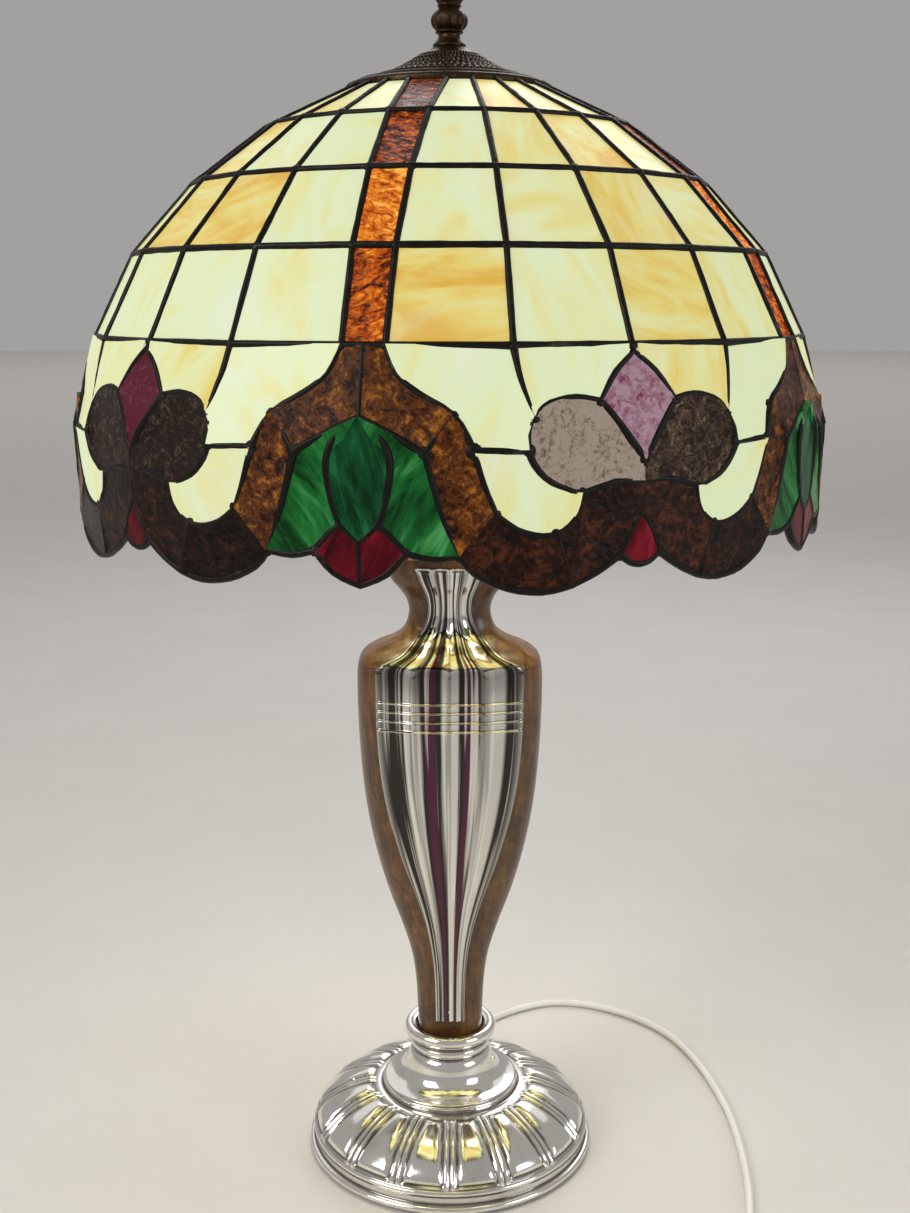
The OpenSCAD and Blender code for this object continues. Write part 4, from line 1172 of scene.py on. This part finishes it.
# ---- Cap and finial ----
# A cast bronze cap sits on the dome, with a stepped rim and a pierced band through which light
# comes. A cast finial with leaves on its bulb screws down over a brass bush and holds it all.
def dark_bronze(place):
    worn = place.cloud(0.006, 5, 0.65)
    rub = place.cloud(0.0022, 3).step(0.5, 0.75)
    return {"Base Color": (worn * 0.5 + rub * 0.4).tint("17110C", "6A5238"), "Metallic": 0.9,
            "Roughness": 0.32 + 0.25 * worn, "Height": (worn, 0.0003)}


bronze = finish("dark_bronze", dark_bronze)


def cap_surface(s):
    """Radius and height down the cone of the cap, from its top (0) to the rim moulding (1)."""
    line = [(9, 639), (11, 637.4), (14, 635.9), (17, 634.4), (22, 631.4), (27, 628.6), (33, 625.8), (39, 623.6)]
    at = s * (len(line) - 1)
    k = min(int(at), len(line) - 2)
    return [line[k][c] + (line[k + 1][c] - line[k][c]) * (at - k) for c in (0, 1)]


def pierced_band(rows=5, around=60, low=0.34, high=0.97):
    """Five rings of small round holes, staggered, each in its own square cell with a raised lip."""
    points, faces = [], []
    for i, j in [(i, j) for i in range(rows) for j in range(around)]:
        start = len(points)
        for lip, rise in enumerate((0, 0.35, -0.9)):
            for c, s in [(math.cos(a + math.pi / 8), math.sin(a + math.pi / 8)) for a in round_turn(8)]:
                reach = 0.3 if lip else 0.5 / max(abs(c), abs(s))
                r, z = cap_surface(low + (high - low) * (i + 0.5 + s * reach) / rows)
                turn = 2 * math.pi * (j + 0.5 + c * reach + 0.5 * (i % 2)) / around
                points.append(about_z(turn, r, z + rise))
        faces += [tuple(start + k for k in f) for f in ring_faces(3, 8)]
    return points, faces


crown = [(3.1, 638.2), (3.1, 639.1), (8.7, 639.1), (9, 638.9)]
crown += [tuple(cap_surface(k * 0.034)) for k in range(1, 11)]
rim_profile = [
    (38.2, 623.9), (39, 624.3), (39.8, 624.2), (40.2, 623.4), (42, 622.6), (45, 621.8), (47.6, 621.3),
    (48.6, 621.5), (49.6, 621.5), (50.3, 620.8), (50.8, 619.9), (52.4, 619.5), (54, 619.4), (55.2, 619),
    (55.6, 618), (55.6, 616), (55.2, 614.8), (54.4, 614.7), (54, 616.8), (50, 618), (44, 619.4), (38.2, 621.6)]
shape, skin = joined(turned(crown, 120), pierced_band(), turned(rim_profile, 120))
piece("pierced_cap", shape, skin, bronze, "shade", ["vase_cap"], 50)

finial_line = [
    (4.45, 652), (4.45, 639.3), (8.4, 639.3), (8.8, 639.7), (8.8, 640.4), (8.1, 641.2), (7, 642.4), (6.1, 643.8),
    (5.8, 645.2), (6.3, 646), (7.2, 646.3), (7.5, 646.9), (7.1, 647.5), (8.2, 648.6), (9.3, 650), (9.8, 651.8),
    (9.8, 653.4), (9.1, 655.2), (7.8, 656.9), (6.2, 658.2), (5.6, 659), (6.3, 659.5), (6.5, 660.1), (6, 660.7),
    (6.6, 661.6), (7.6, 663.2), (8.1, 665.2), (8.1, 667.4), (7.5, 670), (6.4, 672.6), (5.2, 674.8), (4.6, 676.4),
    (5.1, 677.2), (5.7, 678.4), (5.7, 680), (5, 682), (3.8, 684), (2.2, 686), (0.9, 687.1), (0, 687.3)]


def leaves(a, r, h):
    """Eight leaves round the lower bulb and eight flutes on the upper one."""
    low = math.exp(-((h - 652) / 4.2) ** 2)
    high = math.exp(-((h - 667) / 5.5) ** 2)
    cut = 0.9 * low * abs(math.sin(4 * a)) ** 3 + 0.75 * high * abs(math.cos(4 * a)) ** 4
    return -cut if r > 5 else 0


shape, skin = turned(finial_line, 96, 3, leaves)
piece("leafy_finial", shape, skin, bronze, "finial", ["finial"], 50)
